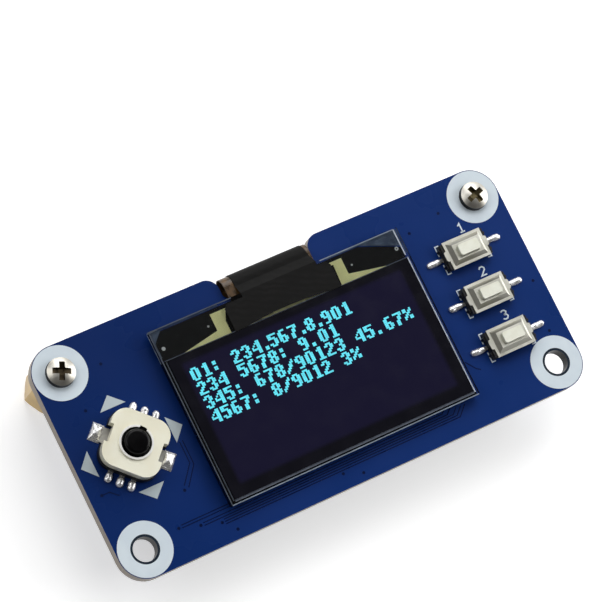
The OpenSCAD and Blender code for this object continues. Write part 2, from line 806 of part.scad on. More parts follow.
module screw(turn) {
    shank_r = thread_d / 2 - screw_gap;
    dome = head_h - head_rim;
    ball = (head_d * head_d / 4 + dome * dome) / (2 * dome);
    color("lightgray")
        translate([0, 0, top_z]) {
            difference() {
                rotate_extrude()
                    intersection() {
                        union() {
                            square([head_d / 2, head_rim]);
                            translate([0, head_h - ball]) circle(ball, $fn = 96);
                        }
                        square([head_d / 2, head_h]);
                    }
                translate([0, 0, head_h - recess_depth])
                    cylinder(d1 = recess_w, d2 = recess_core, h = recess_depth + cut);
                rotate(turn)
                    for (a = [0, 90])
                        rotate(a)
                            rotate([90, 0, 0])
                                linear_extrude(recess_w, center = true)
                                    polygon([[-recess_l / 2, head_h + cut], [recess_l / 2, head_h + cut],
                                             [recess_l / 2, head_h - recess_depth / 3],
                                             [recess_w / 2, head_h - recess_depth],
                                             [-recess_w / 2, head_h - recess_depth],
                                             [-recess_l / 2, head_h - recess_depth / 3]]);
            }
            translate([0, 0, -screw_l]) cylinder(r = shank_r, h = screw_l);
        }
}

module standoff_left() { translate([-hole_x, hole_y, 0]) standoff(); }
module standoff_right() { translate([hole_x, hole_y, 0]) standoff(); }
module screw_left() { translate([-hole_x, hole_y, 0]) screw(recess_turn_left); }
module screw_right() { translate([hole_x, hole_y, 0]) screw(recess_turn_right); }

// ---------------------------------------------------------------- joystick
// Its own X runs between the rows of legs, its own Y between the cover's tabs.

module joystick_base() {
    slot_w = joy_recess_w + 2 * tab_slack;
    slot_in = tab_root - joy_sheet - tab_slack;
    color([0.09, 0.09, 0.1])
        at_joystick() {
            difference() {
                linear_extrude(joy_base_h) rounded_plate(joy_base_w, joy_base_w, joy_corner_r);
                translate([0, 0, joy_floor]) cylinder(d = joy_cavity_d, h = joy_base_h);
                for (s = [-1, 1])
                    translate([0, s * (slot_in + joy_base_w / 2), joy_base_h / 2])
                        cube([slot_w, joy_base_w, joy_base_h + cut], center = true);
            }
            for (s = [-1, 1])
                translate([s * joy_peg_r, 0, -joy_peg_l]) cylinder(d = joy_peg_d, h = joy_peg_l);
        }
}

// The cover's outline, drawn in from its outer face by a distance.
module joystick_cover_outline(inset) {
    w = joy_cover_w - 2 * inset;
    difference() {
        rounded_plate(w, w, joy_corner_r - inset);
        for (s = [-1, 1])
            translate([0, s * (tab_root - inset + joy_cover_w / 2)])
                square([joy_recess_w + 2 * inset, joy_cover_w], center = true);
    }
}

module joystick_cover() {
    collar_d = joy_collar_in + 2 * joy_collar_wall;
    color("antiquewhite")
        at_joystick() {
            difference() {
                union() {
                    translate([0, 0, joy_base_h])
                        linear_extrude(joy_cover_h) joystick_cover_outline(0);
                    translate([0, 0, cover_top]) cylinder(d = collar_d, h = joy_collar_h);
                }
                translate([0, 0, joy_base_h - cut])
                    linear_extrude(joy_cover_h - joy_sheet + cut) joystick_cover_outline(joy_sheet);
                cylinder(d = joy_collar_in, h = cover_top + joy_collar_h + cut);
                // the notch that the stick's key rib moves in
                rotate(rib_turn - joy_turn)
                    translate([0, -rib_w / 2 - rib_gap, joy_base_h])
                        cube([collar_d / 2 + cut, rib_w + 2 * rib_gap, joy_cover_h + joy_collar_h + cut]);
            }
            // the two tabs that fold down past the base and out onto the board
            for (s = [-1, 1])
                flip_y(s) {
                    translate([-joy_tab_w / 2, tab_root - joy_sheet, 0])
                        cube([joy_tab_w, joy_sheet, joy_base_h]);
                    translate([-joy_tab_w / 2, tab_root - joy_sheet, 0])
                        cube([joy_tab_w, joy_tab_reach - tab_root + joy_sheet, joy_sheet]);
                }
        }
}

// Mirrors what follows across the X axis when the side is -1.
module flip_y(side) {
    if (side < 0) mirror([0, 1, 0]) children();
    else children();
}

module joystick_leg_places() {
    for (a = [0, 180], i = [-1:1])
        rotate(a) translate([0, i * joy_leg_pitch, 0]) children();
}

module joystick_leg() {
    translate([joy_base_w / 2, -joy_leg_w / 2, 0])
        cube([joy_leg_reach - joy_base_w / 2, joy_leg_w, joy_leg_t]);
}

module joystick_legs() {
    color("silver") at_joystick() joystick_leg_places() joystick_leg();
}

// A sprung leaf of sheet metal: a flat foot, then a slope up to the tip.
module joystick_side_leaf() {
    bend = leaf_in + leaf_foot;
    rotate([90, 0, 0])
        linear_extrude(leaf_w, center = true)
            polygon([[leaf_in, 0], [bend, 0], [leaf_out, leaf_h - leaf_sheet],
                     [leaf_out, leaf_h], [bend, leaf_sheet], [leaf_in, leaf_sheet]]);
}

module joystick_side_leaves() {
    color("lightgray")
        on_joystick_floor()
            for (a = [0:90:270])
                rotate(a - joy_turn) joystick_side_leaf();
}

module joystick_centre_dome() {
    color("lightgray") on_joystick_floor() spring_dome(mid_dome_r, mid_dome_h);
}

module on_joystick_floor() { at_joystick() translate([0, 0, joy_floor]) children(); }

module joystick_ring() {
    color([0.08, 0.08, 0.08])
        at_joystick()
            translate([0, 0, rock_z])
                difference() {
                    cylinder(d = rock_ring_d, h = rock_t);
                    translate([0, 0, -cut]) cylinder(d = rock_in_d, h = rock_t + 2 * cut);
                }
}

module joystick_plate() {
    color([0.08, 0.08, 0.08])
        at_joystick()
            translate([0, 0, rock_z])
                difference() {
                    cylinder(d = plate_d, h = rock_t);
                    translate([0, 0, -cut])
                        cylinder(d = shaft_d + 2 * shaft_gap, h = rock_t + 2 * cut);
                }
}

module joystick_stick() {
    color([0.05, 0.05, 0.05])
        at_joystick() {
            translate([0, 0, shaft_z]) cylinder(d = shaft_d, h = head_z - shaft_z);
            rotate_extrude()
                intersection() {
                    translate([0, head_z]) square([stick_d / 2, stick_top - head_z]);
                    union() {
                        translate([0, head_z])
                            square([stick_d / 2, stick_top - stick_round - head_z]);
                        square([stick_d / 2 - stick_round, stick_top]);
                        translate([stick_d / 2 - stick_round, stick_top - stick_round])
                            circle(stick_round);
                    }
                }
            // the small key rib at the side of the head
            rotate(rib_turn - joy_turn)
                translate([0, -rib_w / 2, head_z])
                    cube([stick_d / 2 + rib_l, rib_w, stick_top - stick_round - head_z]);
        }
}

// ---------------------------------------------------------------- keys
// Its own origin is at the middle of the key, on the board's top face.

module key_base() {
    color([0.08, 0.08, 0.08])
        difference() {
            union() {
                translate([-key_base_l / 2, -key_base_w / 2, 0])
                    cube([key_base_l, key_base_w, key_base_h]);
                for (x = [-1, 1], y = [-1, 1])
                    translate([x * key_base_l / 2, y * key_rib_y, 0])
                        cylinder(r = key_rib_r, h = key_base_h - key_rib_r);
            }
            translate([-key_cavity_l / 2, -key_cavity_w / 2, key_floor])
                cube([key_cavity_l, key_cavity_w, key_base_h]);
        }
}

module key_cover() {
    color("silver")
        translate([0, 0, flange_z])
            difference() {
                union() {
                    linear_extrude(key_sheet) {
                        square([key_flange_l, key_flange_w], center = true);
                        rounded_plate(key_base_l, key_ear_w, key_rib_r);
                    }
                    translate([0, 0, key_sheet])
                        sloped_block(key_raise_l, key_raise_w, key_slope, key_raise_h);
                }
                // the hollow under the raised part, and the button's window
                translate([0, 0, key_sheet])
                    sloped_block(key_raise_l - 2 * key_sheet, key_raise_w - 2 * key_sheet,
                                 key_slope, key_raise_h - key_sheet);
                translate([0, 0, key_sheet / 2])
                    cube([key_raise_l - 2 * key_sheet, key_raise_w - 2 * key_sheet, key_sheet + eps],
                         center = true);
                linear_extrude(key_sheet + key_raise_h + cut)
                    rounded_plate(button_l + 2 * button_gap, button_w + 2 * button_gap, key_rib_r);
            }
}

module key_button() {
    color("linen") {
        translate([0, 0, lip_z])
            linear_extrude(button_top - lip_z) rounded_plate(button_l, button_w, key_rib_r);
        translate([0, 0, lip_z])
            linear_extrude(button_lip_t)
                rounded_plate(button_l + 2 * button_lip, button_w + 2 * button_lip, key_rib_r);
        translate([0, 0, plunger_z]) cylinder(d = plunger_d, h = lip_z - plunger_z);
    }
}

module key_dome() {
    color("lightgray") translate([0, 0, key_floor]) spring_dome(key_dome_r, key_dome_h);
}

module key_leg() {
    translate([key_base_l / 2, -key_leg_w / 2, 0])
        cube([key_leg_reach - key_base_l / 2, key_leg_w, key_leg_t]);
}

module key_legs() {
    color("silver") for (a = [0, 180]) rotate(a) key_leg();
}

// ---------------------------------------------------------------- solder on the top side

module key_solder() {
    tip = key_leg_reach + solder_past;
    root = key_base_l / 2 + key_solder_gap;
    past = tip + cut;
    slope = (key_solder_w - key_leg_w) / (2 * (tip - key_solder_full - root));
    near = key_leg_w / 2 - slope * key_solder_gap;
    far = key_leg_w / 2 + slope * (past - root);
    difference() {
        intersection() {
            translate([(root + tip) / 2, 0, 0]) solder_finger(tip - root, key_solder_w);
            // narrows to the terminal's width at the base
            linear_extrude(key_solder_w)
                polygon([[key_base_l / 2, -near], [past, -far], [past, far], [key_base_l / 2, near]]);
        }
        key_leg();
    }
}

module leg_solder() {
    tip = joy_leg_reach + leg_solder_past;
    root = joy_base_w / 2 + leg_solder_gap;
    difference() {
        translate([(root + tip) / 2, 0, 0]) solder_finger(tip - root, leg_solder_w);
        joystick_leg();
    }
}

module tab_solder() {
    tip = joy_tab_reach + tab_solder_past;
    difference() {
        translate([0, tip - tab_solder_l / 2, 0])
            solder_cushion(tab_solder_w, tab_solder_l, tab_solder_h);
        translate([-joy_tab_w / 2, 0, -cut]) cube([joy_tab_w, joy_tab_reach, joy_sheet + cut]);
    }
}

module solder_joints() {
    color("gainsboro") {
        for (k = [1:key_n]) at_key(k) for (a = [0, 180]) rotate(a) key_solder();
        at_joystick() {
            joystick_leg_places() leg_solder();
            for (a = [0, 180]) rotate(a) tab_solder();
        }
    }
}

// ---------------------------------------------------------------- underside parts

// Hangs a row of chip parts under the board, on one side of the flex's soldered end.
module chip_part_places(side, n) {
    for (i = [0:n - 1])
        translate([side * chip_part_x, chip_part_y + i * chip_part_pitch, under_z]) children();
}

module chip_part(h) {
    translate([-chip_part_l / 2, -chip_part_w / 2, -h]) cube([chip_part_l, chip_part_w, h]);
}

module capacitors() { color("tan") chip_part_places(-1, cap_n) chip_part(cap_h); }
module resistors() { color([0.1, 0.1, 0.1]) chip_part_places(1, res_n) chip_part(res_h); }

// ---------------------------------------------------------------- the model

circuit_board();
printed_marks();
panel_pad();
cap_glass();
front_glass();
polariser();
driver_chip();
light_shield();
flex_tail();
flex_solder();
flex_tape();
header_body();
header_contacts();
standoff_left();
standoff_right();
screw_left();
screw_right();
joystick_base();
joystick_cover();
joystick_legs();
joystick_side_leaves();
joystick_centre_dome();
joystick_ring();
joystick_plate();
joystick_stick();
solder_joints();
capacitors();
resistors();
for (k = [1:key_n]) {
    at_key(k) key_base();
    at_key(k) key_cover();
    at_key(k) key_button();
    at_key(k) key_dome();
    at_key(k) key_legs();
}
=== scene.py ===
"""Looks of a small plug-on display module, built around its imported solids.

Lengths are in metres, in the module's own frame: the origin is the centre of the four-hole
pattern in the plane of the standoffs' feet, +X runs to the keys and +Z points out of the display.
"""

import logging
import math
from dataclasses import dataclass
from enum import Enum

import bmesh
import bpy
from mathutils import Matrix, Vector


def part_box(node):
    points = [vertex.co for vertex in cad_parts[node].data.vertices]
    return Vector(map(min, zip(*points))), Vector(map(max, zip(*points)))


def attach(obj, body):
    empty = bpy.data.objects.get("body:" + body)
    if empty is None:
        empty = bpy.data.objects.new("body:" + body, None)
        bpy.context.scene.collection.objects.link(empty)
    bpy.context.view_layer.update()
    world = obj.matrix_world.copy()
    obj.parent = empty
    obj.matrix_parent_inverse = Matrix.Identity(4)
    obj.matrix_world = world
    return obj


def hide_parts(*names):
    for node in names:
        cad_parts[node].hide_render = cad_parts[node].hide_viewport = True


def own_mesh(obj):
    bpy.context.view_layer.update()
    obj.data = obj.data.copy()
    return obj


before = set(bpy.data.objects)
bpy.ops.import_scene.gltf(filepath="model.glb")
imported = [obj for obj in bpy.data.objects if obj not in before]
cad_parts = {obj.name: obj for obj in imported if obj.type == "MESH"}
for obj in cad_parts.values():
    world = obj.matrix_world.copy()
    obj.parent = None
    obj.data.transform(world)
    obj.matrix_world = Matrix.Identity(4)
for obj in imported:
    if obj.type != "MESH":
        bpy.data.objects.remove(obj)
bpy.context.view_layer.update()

LOG = logging.getLogger("display_module")
MM = 0.001
HOLE_MM = (29.0, 11.5)  # the board's holes, on both sides of its middle
STICK_MM = (-25.0, 0.1)  # the joystick's centre
COVER_TOP_MM = 10.8  # the flat top of the joystick's cover
SAME_SPOT = 1e-7  # vertices closer than this become one
DOT_SIDES = 20
MITRE_LIMIT = 0.4  # keeps a ribbon's sharp corners from running out far
Colour = tuple[float, float, float]
Place = tuple[float, float, float]
Point = tuple[float, float]
Material = bpy.types.Material
Node = bpy.types.Node
Object = bpy.types.Object
Socket = bpy.types.NodeSocket


class Surface(Enum):
    """How metallic a finish is."""

    PLASTIC = 0.0
    SATIN = 0.4
    POLISHED = 0.8
    METAL = 1.0


# -------- node trees


class Graph:
    """A node tree with short calls to add and join its nodes."""

    def __init__(self, tree: bpy.types.NodeTree) -> None:
        """Wraps a node tree.

        Args:
            tree: The tree of a material, a world or a group.
        """
        self.tree = tree

    def add(self, kind: str, inputs: dict | None = None, **settings: object) -> Node:
        """Adds a node.

        Args:
            kind: The node's type name.
            inputs: Values, or sockets to link, by the input's name or number.
            settings: Values of the node's own properties.

        Returns:
            The new node.
        """
        node = self.tree.nodes.new(kind)
        for key, value in settings.items():
            setattr(node, key, value)
        for key, value in (inputs or {}).items():
            if isinstance(value, Socket):
                self.tree.links.new(value, node.inputs[key])
            else:
                node.inputs[key].default_value = value
        return node

    def math(self, operation: str, first: object, second: object = 0.0) -> Socket:
        """Adds a Math node and returns its output.

        Args:
            operation: The Math node's operation.
            first: A number or a socket.
            second: A number or a socket.

        Returns:
            The result's socket.
        """
        return self.add("ShaderNodeMath", {0: first, 1: second}, operation=operation).outputs[0]

    def blend(self, factor: object, first: object, second: object) -> Socket:
        """Mixes two colours.

        Args:
            factor: A number or a socket, 0 for the first colour and 1 for the second.
            first: A colour or a socket.
            second: A colour or a socket.

        Returns:
            The mixed colour's socket.
        """
        node = self.add("ShaderNodeMix", data_type="RGBA")
        for key, value in ((0, factor), (6, first), (7, second)):
            if isinstance(value, Socket):
                self.tree.links.new(value, node.inputs[key])
            elif key:
                node.inputs[key].default_value = (*value, 1.0)
            else:
                node.inputs[key].default_value = value
        return node.outputs[2]

    def place(self) -> Socket:
        """Returns the socket of the piece's own coordinates, in metres."""
        return self.add("ShaderNodeTexCoord").outputs["Object"]

    def split(self, vector: Socket) -> tuple[Socket, ...]:
        """Returns the X, Y and Z sockets of a vector."""
        return tuple(self.add("ShaderNodeSeparateXYZ", {0: vector}).outputs)

    def facing(self) -> tuple[Socket, ...]:
        """Returns the X, Y and Z sockets of the way that a face looks."""
        return self.split(self.add("ShaderNodeNewGeometry").outputs["True Normal"])

    def squared(self, across: Socket, along: Socket, centre_mm: Point) -> Socket:
        """Squares the distance from a point.

        Args:
            across: The place along X.
            along: The place along Y.
            centre_mm: The point, in millimetres.

        Returns:
            The socket of the squared distance, in square metres.
        """
        x = self.math("SUBTRACT", across, centre_mm[0] * MM)
        y = self.math("SUBTRACT", along, centre_mm[1] * MM)
        return self.math("ADD", self.math("MULTIPLY", x, x), self.math("MULTIPLY", y, y))

    def within(self, square: Socket, reach_mm: float) -> Socket:
        """Returns a mask that is 1 where a squared distance lies within a reach."""
        return self.math("LESS_THAN", self.math("SQRT", square), reach_mm * MM)

    def step(self, value: object, low: float, high: float) -> Socket:
        """Rises smoothly from 0 to 1.

        Args:
            value: The socket that is compared.
            low: Where the rise starts.
            high: Where the rise ends.

        Returns:
            The socket of the mask.
        """
        inputs = {0: value, 1: low, 2: high, 3: 0.0, 4: 1.0}
        node = self.add("ShaderNodeMapRange", inputs, interpolation_type="SMOOTHSTEP")
        return node.outputs[0]


def grain_group() -> bpy.types.NodeTree:
    """Makes the shared grain: a fine height and a slow cloud, both from 0 to 1."""
    tree = bpy.data.node_groups.new("surface_grain", "ShaderNodeTree")
    for key, default in (("Fine", 8000.0), ("Slow", 400.0)):
        socket = tree.interface.new_socket(key, in_out="INPUT", socket_type="NodeSocketFloat")
        socket.default_value = default
    for key in ("Height", "Cloud"):
        tree.interface.new_socket(key, in_out="OUTPUT", socket_type="NodeSocketFloat")
    graph = Graph(tree)
    given = graph.add("NodeGroupInput").outputs
    place = graph.place()
    fine, slow = (
        graph.add("ShaderNodeTexNoise", {"Vector": place, "Scale": scale, "Detail": detail})
        for scale, detail in ((given["Fine"], 4.0), (given["Slow"], 3.0))
    )
    cloud = graph.step(slow.outputs[0], 0.3, 0.7)
    graph.add("NodeGroupOutput", {"Height": fine.outputs[0], "Cloud": cloud})
    return tree


GRAIN = grain_group()


# -------- finishes


def blank(name: str) -> tuple[Material, Graph, Node]:
    """Returns a new material with its graph and its shader."""
    material = bpy.data.materials.new(name)
    material.use_nodes = True
    return material, Graph(material.node_tree), material.node_tree.nodes["Principled BSDF"]


@dataclass(frozen=True)
class Finish:
    """A surface with two close tones, a shine and a grain that breaks both up."""

    name: str
    light: Colour
    dark: Colour
    roughness: float
    surface: Surface = Surface.PLASTIC
    specular: float = 0.5
    grain_mm: float = 0.12
    cloud_mm: float = 2.5
    bump_mm: float = 0.002
    spread: float = 0.08

    def start(self) -> tuple[Material, Graph, Node, Node]:
        """Makes the material with its shader, and the grain that it reads.

        Returns:
            The material, its graph, its shader and its grain node.
        """
        material, graph, shader = blank(self.name)
        shader.inputs["Metallic"].default_value = self.surface.value
        shader.inputs["Specular IOR Level"].default_value = self.specular
        inputs = {"Fine": 1.0 / (self.grain_mm * MM), "Slow": 1.0 / (self.cloud_mm * MM)}
        grain = graph.add("ShaderNodeGroup", node_tree=GRAIN)
        for key, value in inputs.items():
            grain.inputs[key].default_value = value
        return material, graph, shader, grain

    def shine(self, graph: Graph, shader: Node, grain: Node) -> None:
        """Joins the grain to the shader's roughness and normal.

        Args:
            graph: The material's graph.
            shader: Its shader.
            grain: Its grain node.
        """
        shift = graph.math("MULTIPLY", grain.outputs["Cloud"], self.spread)
        rough = graph.math("ADD", shift, max(0.0, self.roughness - self.spread / 2))
        relief = {"Height": grain.outputs["Height"], "Distance": self.bump_mm * MM}
        bump = graph.add("ShaderNodeBump", relief)
        graph.tree.links.new(rough, shader.inputs["Roughness"])
        graph.tree.links.new(bump.outputs[0], shader.inputs["Normal"])

    def tone(self, graph: Graph, grain: Node) -> Socket:
        """Returns the colour's socket, drifting between the two tones."""
        return graph.blend(grain.outputs["Cloud"], self.dark, self.light)

    def make(self) -> Material:
        """Returns the finished material."""
        material, graph, shader, grain = self.start()
        graph.tree.links.new(self.tone(graph, grain), shader.inputs["Base Color"])
        self.shine(graph, shader, grain)
        return material


@dataclass(frozen=True)
class BoardFinish(Finish):
    """Blue solder mask with laminate on the edges; painted shade darkens it towards the upper left,
    and darkens the uncoated rings and the walls of the four holes.
    """

    laminate: Colour = (0.34, 0.29, 0.24)
    # uncoated laminate round the holes, darkened as painted shade beside the screw heads
    bare_and_shade: Colour = (0.020, 0.030, 0.045)
    # painted shade on the walls of the holes
    wall_shade: Colour = (0.030, 0.032, 0.030)
    # painted shade: the darker mask that the board fades to towards its upper left
    deep: Colour = (0.0036, 0.021, 0.118)
    bare_mm: float = 1.8
    # where the painted shade fades in, along x minus y, in millimetres
    shade_sweep_mm: Point = (-44.0, 12.0)
    upright: float = 0.5

    def make(self) -> Material:
        """Returns the board's material, with its zones and its painted shade set by place and by
        slope.
        """
        material, graph, shader, grain = self.start()
        across, along, _ = graph.split(graph.place())
        start, end = (limit * MM for limit in self.shade_sweep_mm)
        # painted shade, rising towards the upper left
        shade_sweep = graph.step(graph.math("SUBTRACT", across, along), start, end)
        mask = graph.blend(shade_sweep, self.deep, self.tone(graph, grain))
        mirrored = (graph.math("ABSOLUTE", across), graph.math("ABSOLUTE", along))
        near = graph.within(graph.squared(*mirrored, HOLE_MM), self.bare_mm)
        # upright faces near the holes take the painted shade, elsewhere the laminate
        side = graph.blend(near, self.laminate, self.wall_shade)
        slope = graph.math("ABSOLUTE", graph.facing()[2])
        edge = graph.math("LESS_THAN", slope, self.upright)
        # the uncoated rings carry painted shade
        face = graph.blend(near, mask, self.bare_and_shade)
        graph.tree.links.new(graph.blend(edge, face, side), shader.inputs["Base Color"])
        self.shine(graph, shader, grain)
        return material


@dataclass(frozen=True)
class InkFinish(Finish):
    """Pale printed ink, greyer within reach of the joystick, where the arrows are."""

    # the greyer tone of the ink within reach of the joystick
    near_stick_tone: Colour = (0.50, 0.57, 0.60)
    reach_mm: float = 8.0

    def tone(self, graph: Graph, grain: Node) -> Socket:
        """Returns the colour's socket, with the arrows set by place."""
        x, y, _ = graph.split(graph.place())
        near = graph.within(graph.squared(x, y, STICK_MM), self.reach_mm)
        return graph.blend(near, super().tone(graph, grain), self.near_stick_tone)


@dataclass(frozen=True)
class CoverFinish(Finish):
    """Cream plated sheet; low down, where the tabs fold onto the board, they are uncoated and
    painted darker as shade, and the collar carries a painted highlight.
    """

    # tinned tabs, painted darker as shade below the given height
    tinned_tab_shade: Colour = (0.42, 0.41, 0.38)
    tab_top_mm: float = 9.4
    tab_fade_mm: float = 0.2
    # painted highlight on the collar's rolled top
    collar: Colour = (0.97, 0.96, 0.92)
    collar_above_mm: Point = (0.02, 0.1)

    def tone(self, graph: Graph, grain: Node) -> Socket:
        """Returns the colour's socket, with the painted shade on the tabs and the painted highlight
        on the collar set by height.
        """
        height = graph.split(graph.place())[2]
        tab_top = self.tab_top_mm * MM
        # painted shade on the tabs below this height
        above = graph.step(height, (self.tab_top_mm - self.tab_fade_mm) * MM, tab_top)
        start, end = ((COVER_TOP_MM + more) * MM for more in self.collar_above_mm)
        # painted highlight on the collar, above the cover's flat top
        raised = graph.step(height, start, end)
        sheet = graph.blend(raised, super().tone(graph, grain), self.collar)
        return graph.blend(above, self.tinned_tab_shade, sheet)


@dataclass(frozen=True)
class KeyFinish(Finish):
    """Nickel plate, with painted shade on the pressed slopes and a painted highlight on those that
    face right.
    """

    # painted shade on the slopes
    slope_shade: Colour = (0.40, 0.39, 0.34)
    # painted highlight on the slopes that face right
    right_slope_highlight: Colour = (0.78, 0.78, 0.73)
    level: Point = (0.86, 0.97)
    rightward: Point = (0.2, 0.5)

    def tone(self, graph: Graph, grain: Node) -> Socket:
        """Returns the colour's socket, with the painted shade and highlight on the slopes set by
        the way that they face.
        """
        east, _, rise = graph.facing()
        level = graph.step(rise, *self.level)
        # slopes take painted shade, or a painted highlight where they face right
        slope = graph.blend(graph.step(east, *self.rightward), self.slope_shade, self.right_slope_highlight)
        return graph.blend(level, slope, super().tone(graph, grain))


@dataclass(frozen=True)
class ScrewFinish(Finish):
    """Polished nickel, with painted shade in the head's cross-shaped hollow and on the head's side.
    """

    # painted shade in the head's cross-shaped hollow
    recess_shade: Colour = (0.16, 0.13, 0.075)
    # painted shade on the head's upright side
    side: Colour = (0.018, 0.018, 0.02)
    place_mm: Point = (0.0, 0.0)
    reach_mm: float = 1.2
    top_mm: float = 10.0
    fall_per_mm: float = 0.1
    depth_mm: Point = (0.03, 0.12)
    upright: float = 0.45

    def tone(self, graph: Graph, grain: Node) -> Socket:
        """Returns the colour's socket, with the painted shade in the hollow and on the side set by
        place and slope.
        """
        x, y, z = graph.split(graph.place())
        square = graph.squared(graph.math("ABSOLUTE", x), y, self.place_mm)
        fall = graph.math("MULTIPLY", square, self.fall_per_mm / MM)
        crown = graph.math("SUBTRACT", self.top_mm * MM, fall)
        depth = graph.math("SUBTRACT", crown, z)
        start, end = (limit * MM for limit in self.depth_mm)
        near = graph.within(square, self.reach_mm)
        inside = graph.math("MULTIPLY", near, graph.step(depth, start, end))
        slope = graph.math("ABSOLUTE", graph.facing()[2])
        # the head's upright side takes the painted shade
        wall_shade = graph.math("LESS_THAN", slope, self.upright)
        bare_and_shade = graph.blend(wall_shade, super().tone(graph, grain), self.side)
        # painted shade in the hollow
        return graph.blend(inside, bare_and_shade, self.recess_shade)


@dataclass(frozen=True)
class WovenFinish(Finish):
    """A dark tape with fine slanting ribs."""

    rib_mm: float = 0.42
    rib_high_mm: float = 0.006
    turn_deg: float = 24.0
    wave_turn: float = 6.283  # one wave, in radians
    grain_share: float = 0.5

    def make(self) -> Material:
        """Returns the tape's material."""
        material, graph, shader, grain = self.start()
        turn = (0.0, 0.0, math.radians(self.turn_deg))
        turned = graph.add("ShaderNodeMapping", {"Vector": graph.place(), "Rotation": turn})
        waves = {
            "Vector": turned.outputs[0],
            "Scale": 1.0 / (self.rib_mm * MM) / self.wave_turn,
            "Distortion": 4.0,
            "Detail": 2.0,
            "Detail Scale": 2.0,
        }
        rib = graph.add("ShaderNodeTexWave", waves, bands_direction="Y").outputs["Fac"]
        patch = graph.math("MULTIPLY", rib, grain.outputs["Cloud"])
        tone = graph.blend(patch, self.dark, self.light)
        graph.tree.links.new(tone, shader.inputs["Base Color"])
        shader.inputs["Roughness"].default_value = self.roughness
        rough = graph.math("MULTIPLY", grain.outputs["Height"], self.grain_share)
        relief = {"Height": graph.math("ADD", rib, rough), "Distance": self.rib_high_mm * MM}
        bump = graph.add("ShaderNodeBump", relief)
        graph.tree.links.new(bump.outputs[0], shader.inputs["Normal"])
        return material


@dataclass(frozen=True)
class FilmFinish(Finish):
    """The dark film over the display, faintly violet where the picture is."""

    violet: Colour = (0.0100, 0.0085, 0.0290)
    low: Point = (0.0, 0.0)
    high: Point = (0.0, 0.0)
    soft_mm: float = 0.8

    def make(self) -> Material:
        """Returns the film's material, with the picture's area set by place."""
        material, graph, shader, grain = self.start()
        soft = self.soft_mm * MM
        masks = [
            mask
            for place, low, high in zip(graph.split(graph.place()), self.low, self.high)
            for mask in (graph.step(place, low - soft, low), graph.step(place, high + soft, high))
        ]
        inside = masks[0]
        for mask in masks[1:]:
            inside = graph.math("MULTIPLY", inside, mask)
        tone = graph.blend(inside, self.tone(graph, grain), self.violet)
        graph.tree.links.new(tone, shader.inputs["Base Color"])
        self.shine(graph, shader, grain)
        return material


def glass_material(name: str, tint: Colour) -> Material:
    """Makes clear glass.

    Args:
        name: The material's name.
        tint: The glass's colour.

    Returns:
        The material.
    """
    material, _, shader = blank(name)
    for key, value in (("Transmission Weight", 1.0), ("Roughness", 0.03), ("IOR", 1.5)):
        shader.inputs[key].default_value = value
    shader.inputs["Base Color"].default_value = (*tint, 1.0)
    return material


def glow_material(name: str, colour: Colour, strength: float) -> Material:
    """Makes the lit picture elements.

    Args:
        name: The material's name.
        colour: The light's colour.
        strength: The light's strength.

    Returns:
        The material.
    """
    cloud_mm, deep_share = 0.5, 0.82
    material, graph, shader = blank(name)
    grain = graph.add("ShaderNodeGroup", node_tree=GRAIN)
    grain.inputs["Slow"].default_value = 1.0 / (cloud_mm * MM)
    deep = tuple(deep_share * part for part in colour)
    glow = graph.blend(grain.outputs["Cloud"], deep, colour)
    graph.tree.links.new(glow, shader.inputs["Emission Color"])
    shader.inputs["Emission Strength"].default_value = strength
    shader.inputs["Base Color"].default_value = (0.0, 0.02, 0.03, 1.0)
    return material


# -------- modelling by hand


def clear_selection() -> None:
    """Leaves edit mode and deselects everything."""
    if bpy.context.mode != "OBJECT":
        bpy.ops.object.mode_set(mode="OBJECT")
    bpy.ops.object.select_all(action="DESELECT")


def pick(obj: Object) -> None:
    """Selects one object alone and makes it the active one."""
    clear_selection()
    bpy.context.view_layer.objects.active = obj
    obj.select_set(True)


def edit_all() -> None:
    """Enters edit mode and selects everything."""
    bpy.ops.object.mode_set(mode="EDIT")
    bpy.ops.mesh.select_all(action="SELECT")


def metres(points_mm: list[Point]) -> list[Point]:
    """Turns points in millimetres into points in metres."""
    return [(x * MM, y * MM) for x, y in points_mm]


def close_up(obj: Object) -> None:
    """Merges doubled vertices and turns every face outwards."""
    pick(obj)
    edit_all()
    bpy.ops.mesh.remove_doubles(threshold=SAME_SPOT)
    bpy.ops.mesh.normals_make_consistent(inside=False)
    bpy.ops.object.mode_set(mode="OBJECT")


def hand_over(obj: Object, name: str, material: Material) -> None:
    """Names a piece, gives it its material and lets it ride on the module.

    Args:
        obj: The piece.
        name: Its name.
        material: Its material.
    """
    pick(obj)
    bpy.ops.object.transform_apply()
    obj.name = obj.data.name = name
    obj.data.materials.clear()
    obj.data.materials.append(material)
    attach(obj, "module")
    clear_selection()
    LOG.info("piece %s: %d faces", name, len(obj.data.polygons))


def raise_face(obj: Object, height: float) -> None:
    """Extrudes a flat piece upwards into a closed one.

    Args:
        obj: The flat piece.
        height: How far it rises.
    """
    pick(obj)
    edit_all()
    bpy.ops.mesh.extrude_region_move(TRANSFORM_OT_translate={"value": (0.0, 0.0, height)})
    close_up(obj)


def plate(outline: list[Point], low: float, thick: float) -> Object:
    """Cuts a flat plate to an outline.

    Args:
        outline: The corners in order, in metres.
        low: The height of its underside.
        thick: Its thickness.

    Returns:
        The plate.
    """
    clear_selection()
    bpy.ops.mesh.primitive_circle_add(vertices=len(outline), radius=MM, fill_type="NGON")
    obj = bpy.context.object
    for vertex, (x, y) in zip(obj.data.vertices, outline):
        vertex.co = (x, y, low)
    raise_face(obj, thick)
    return obj


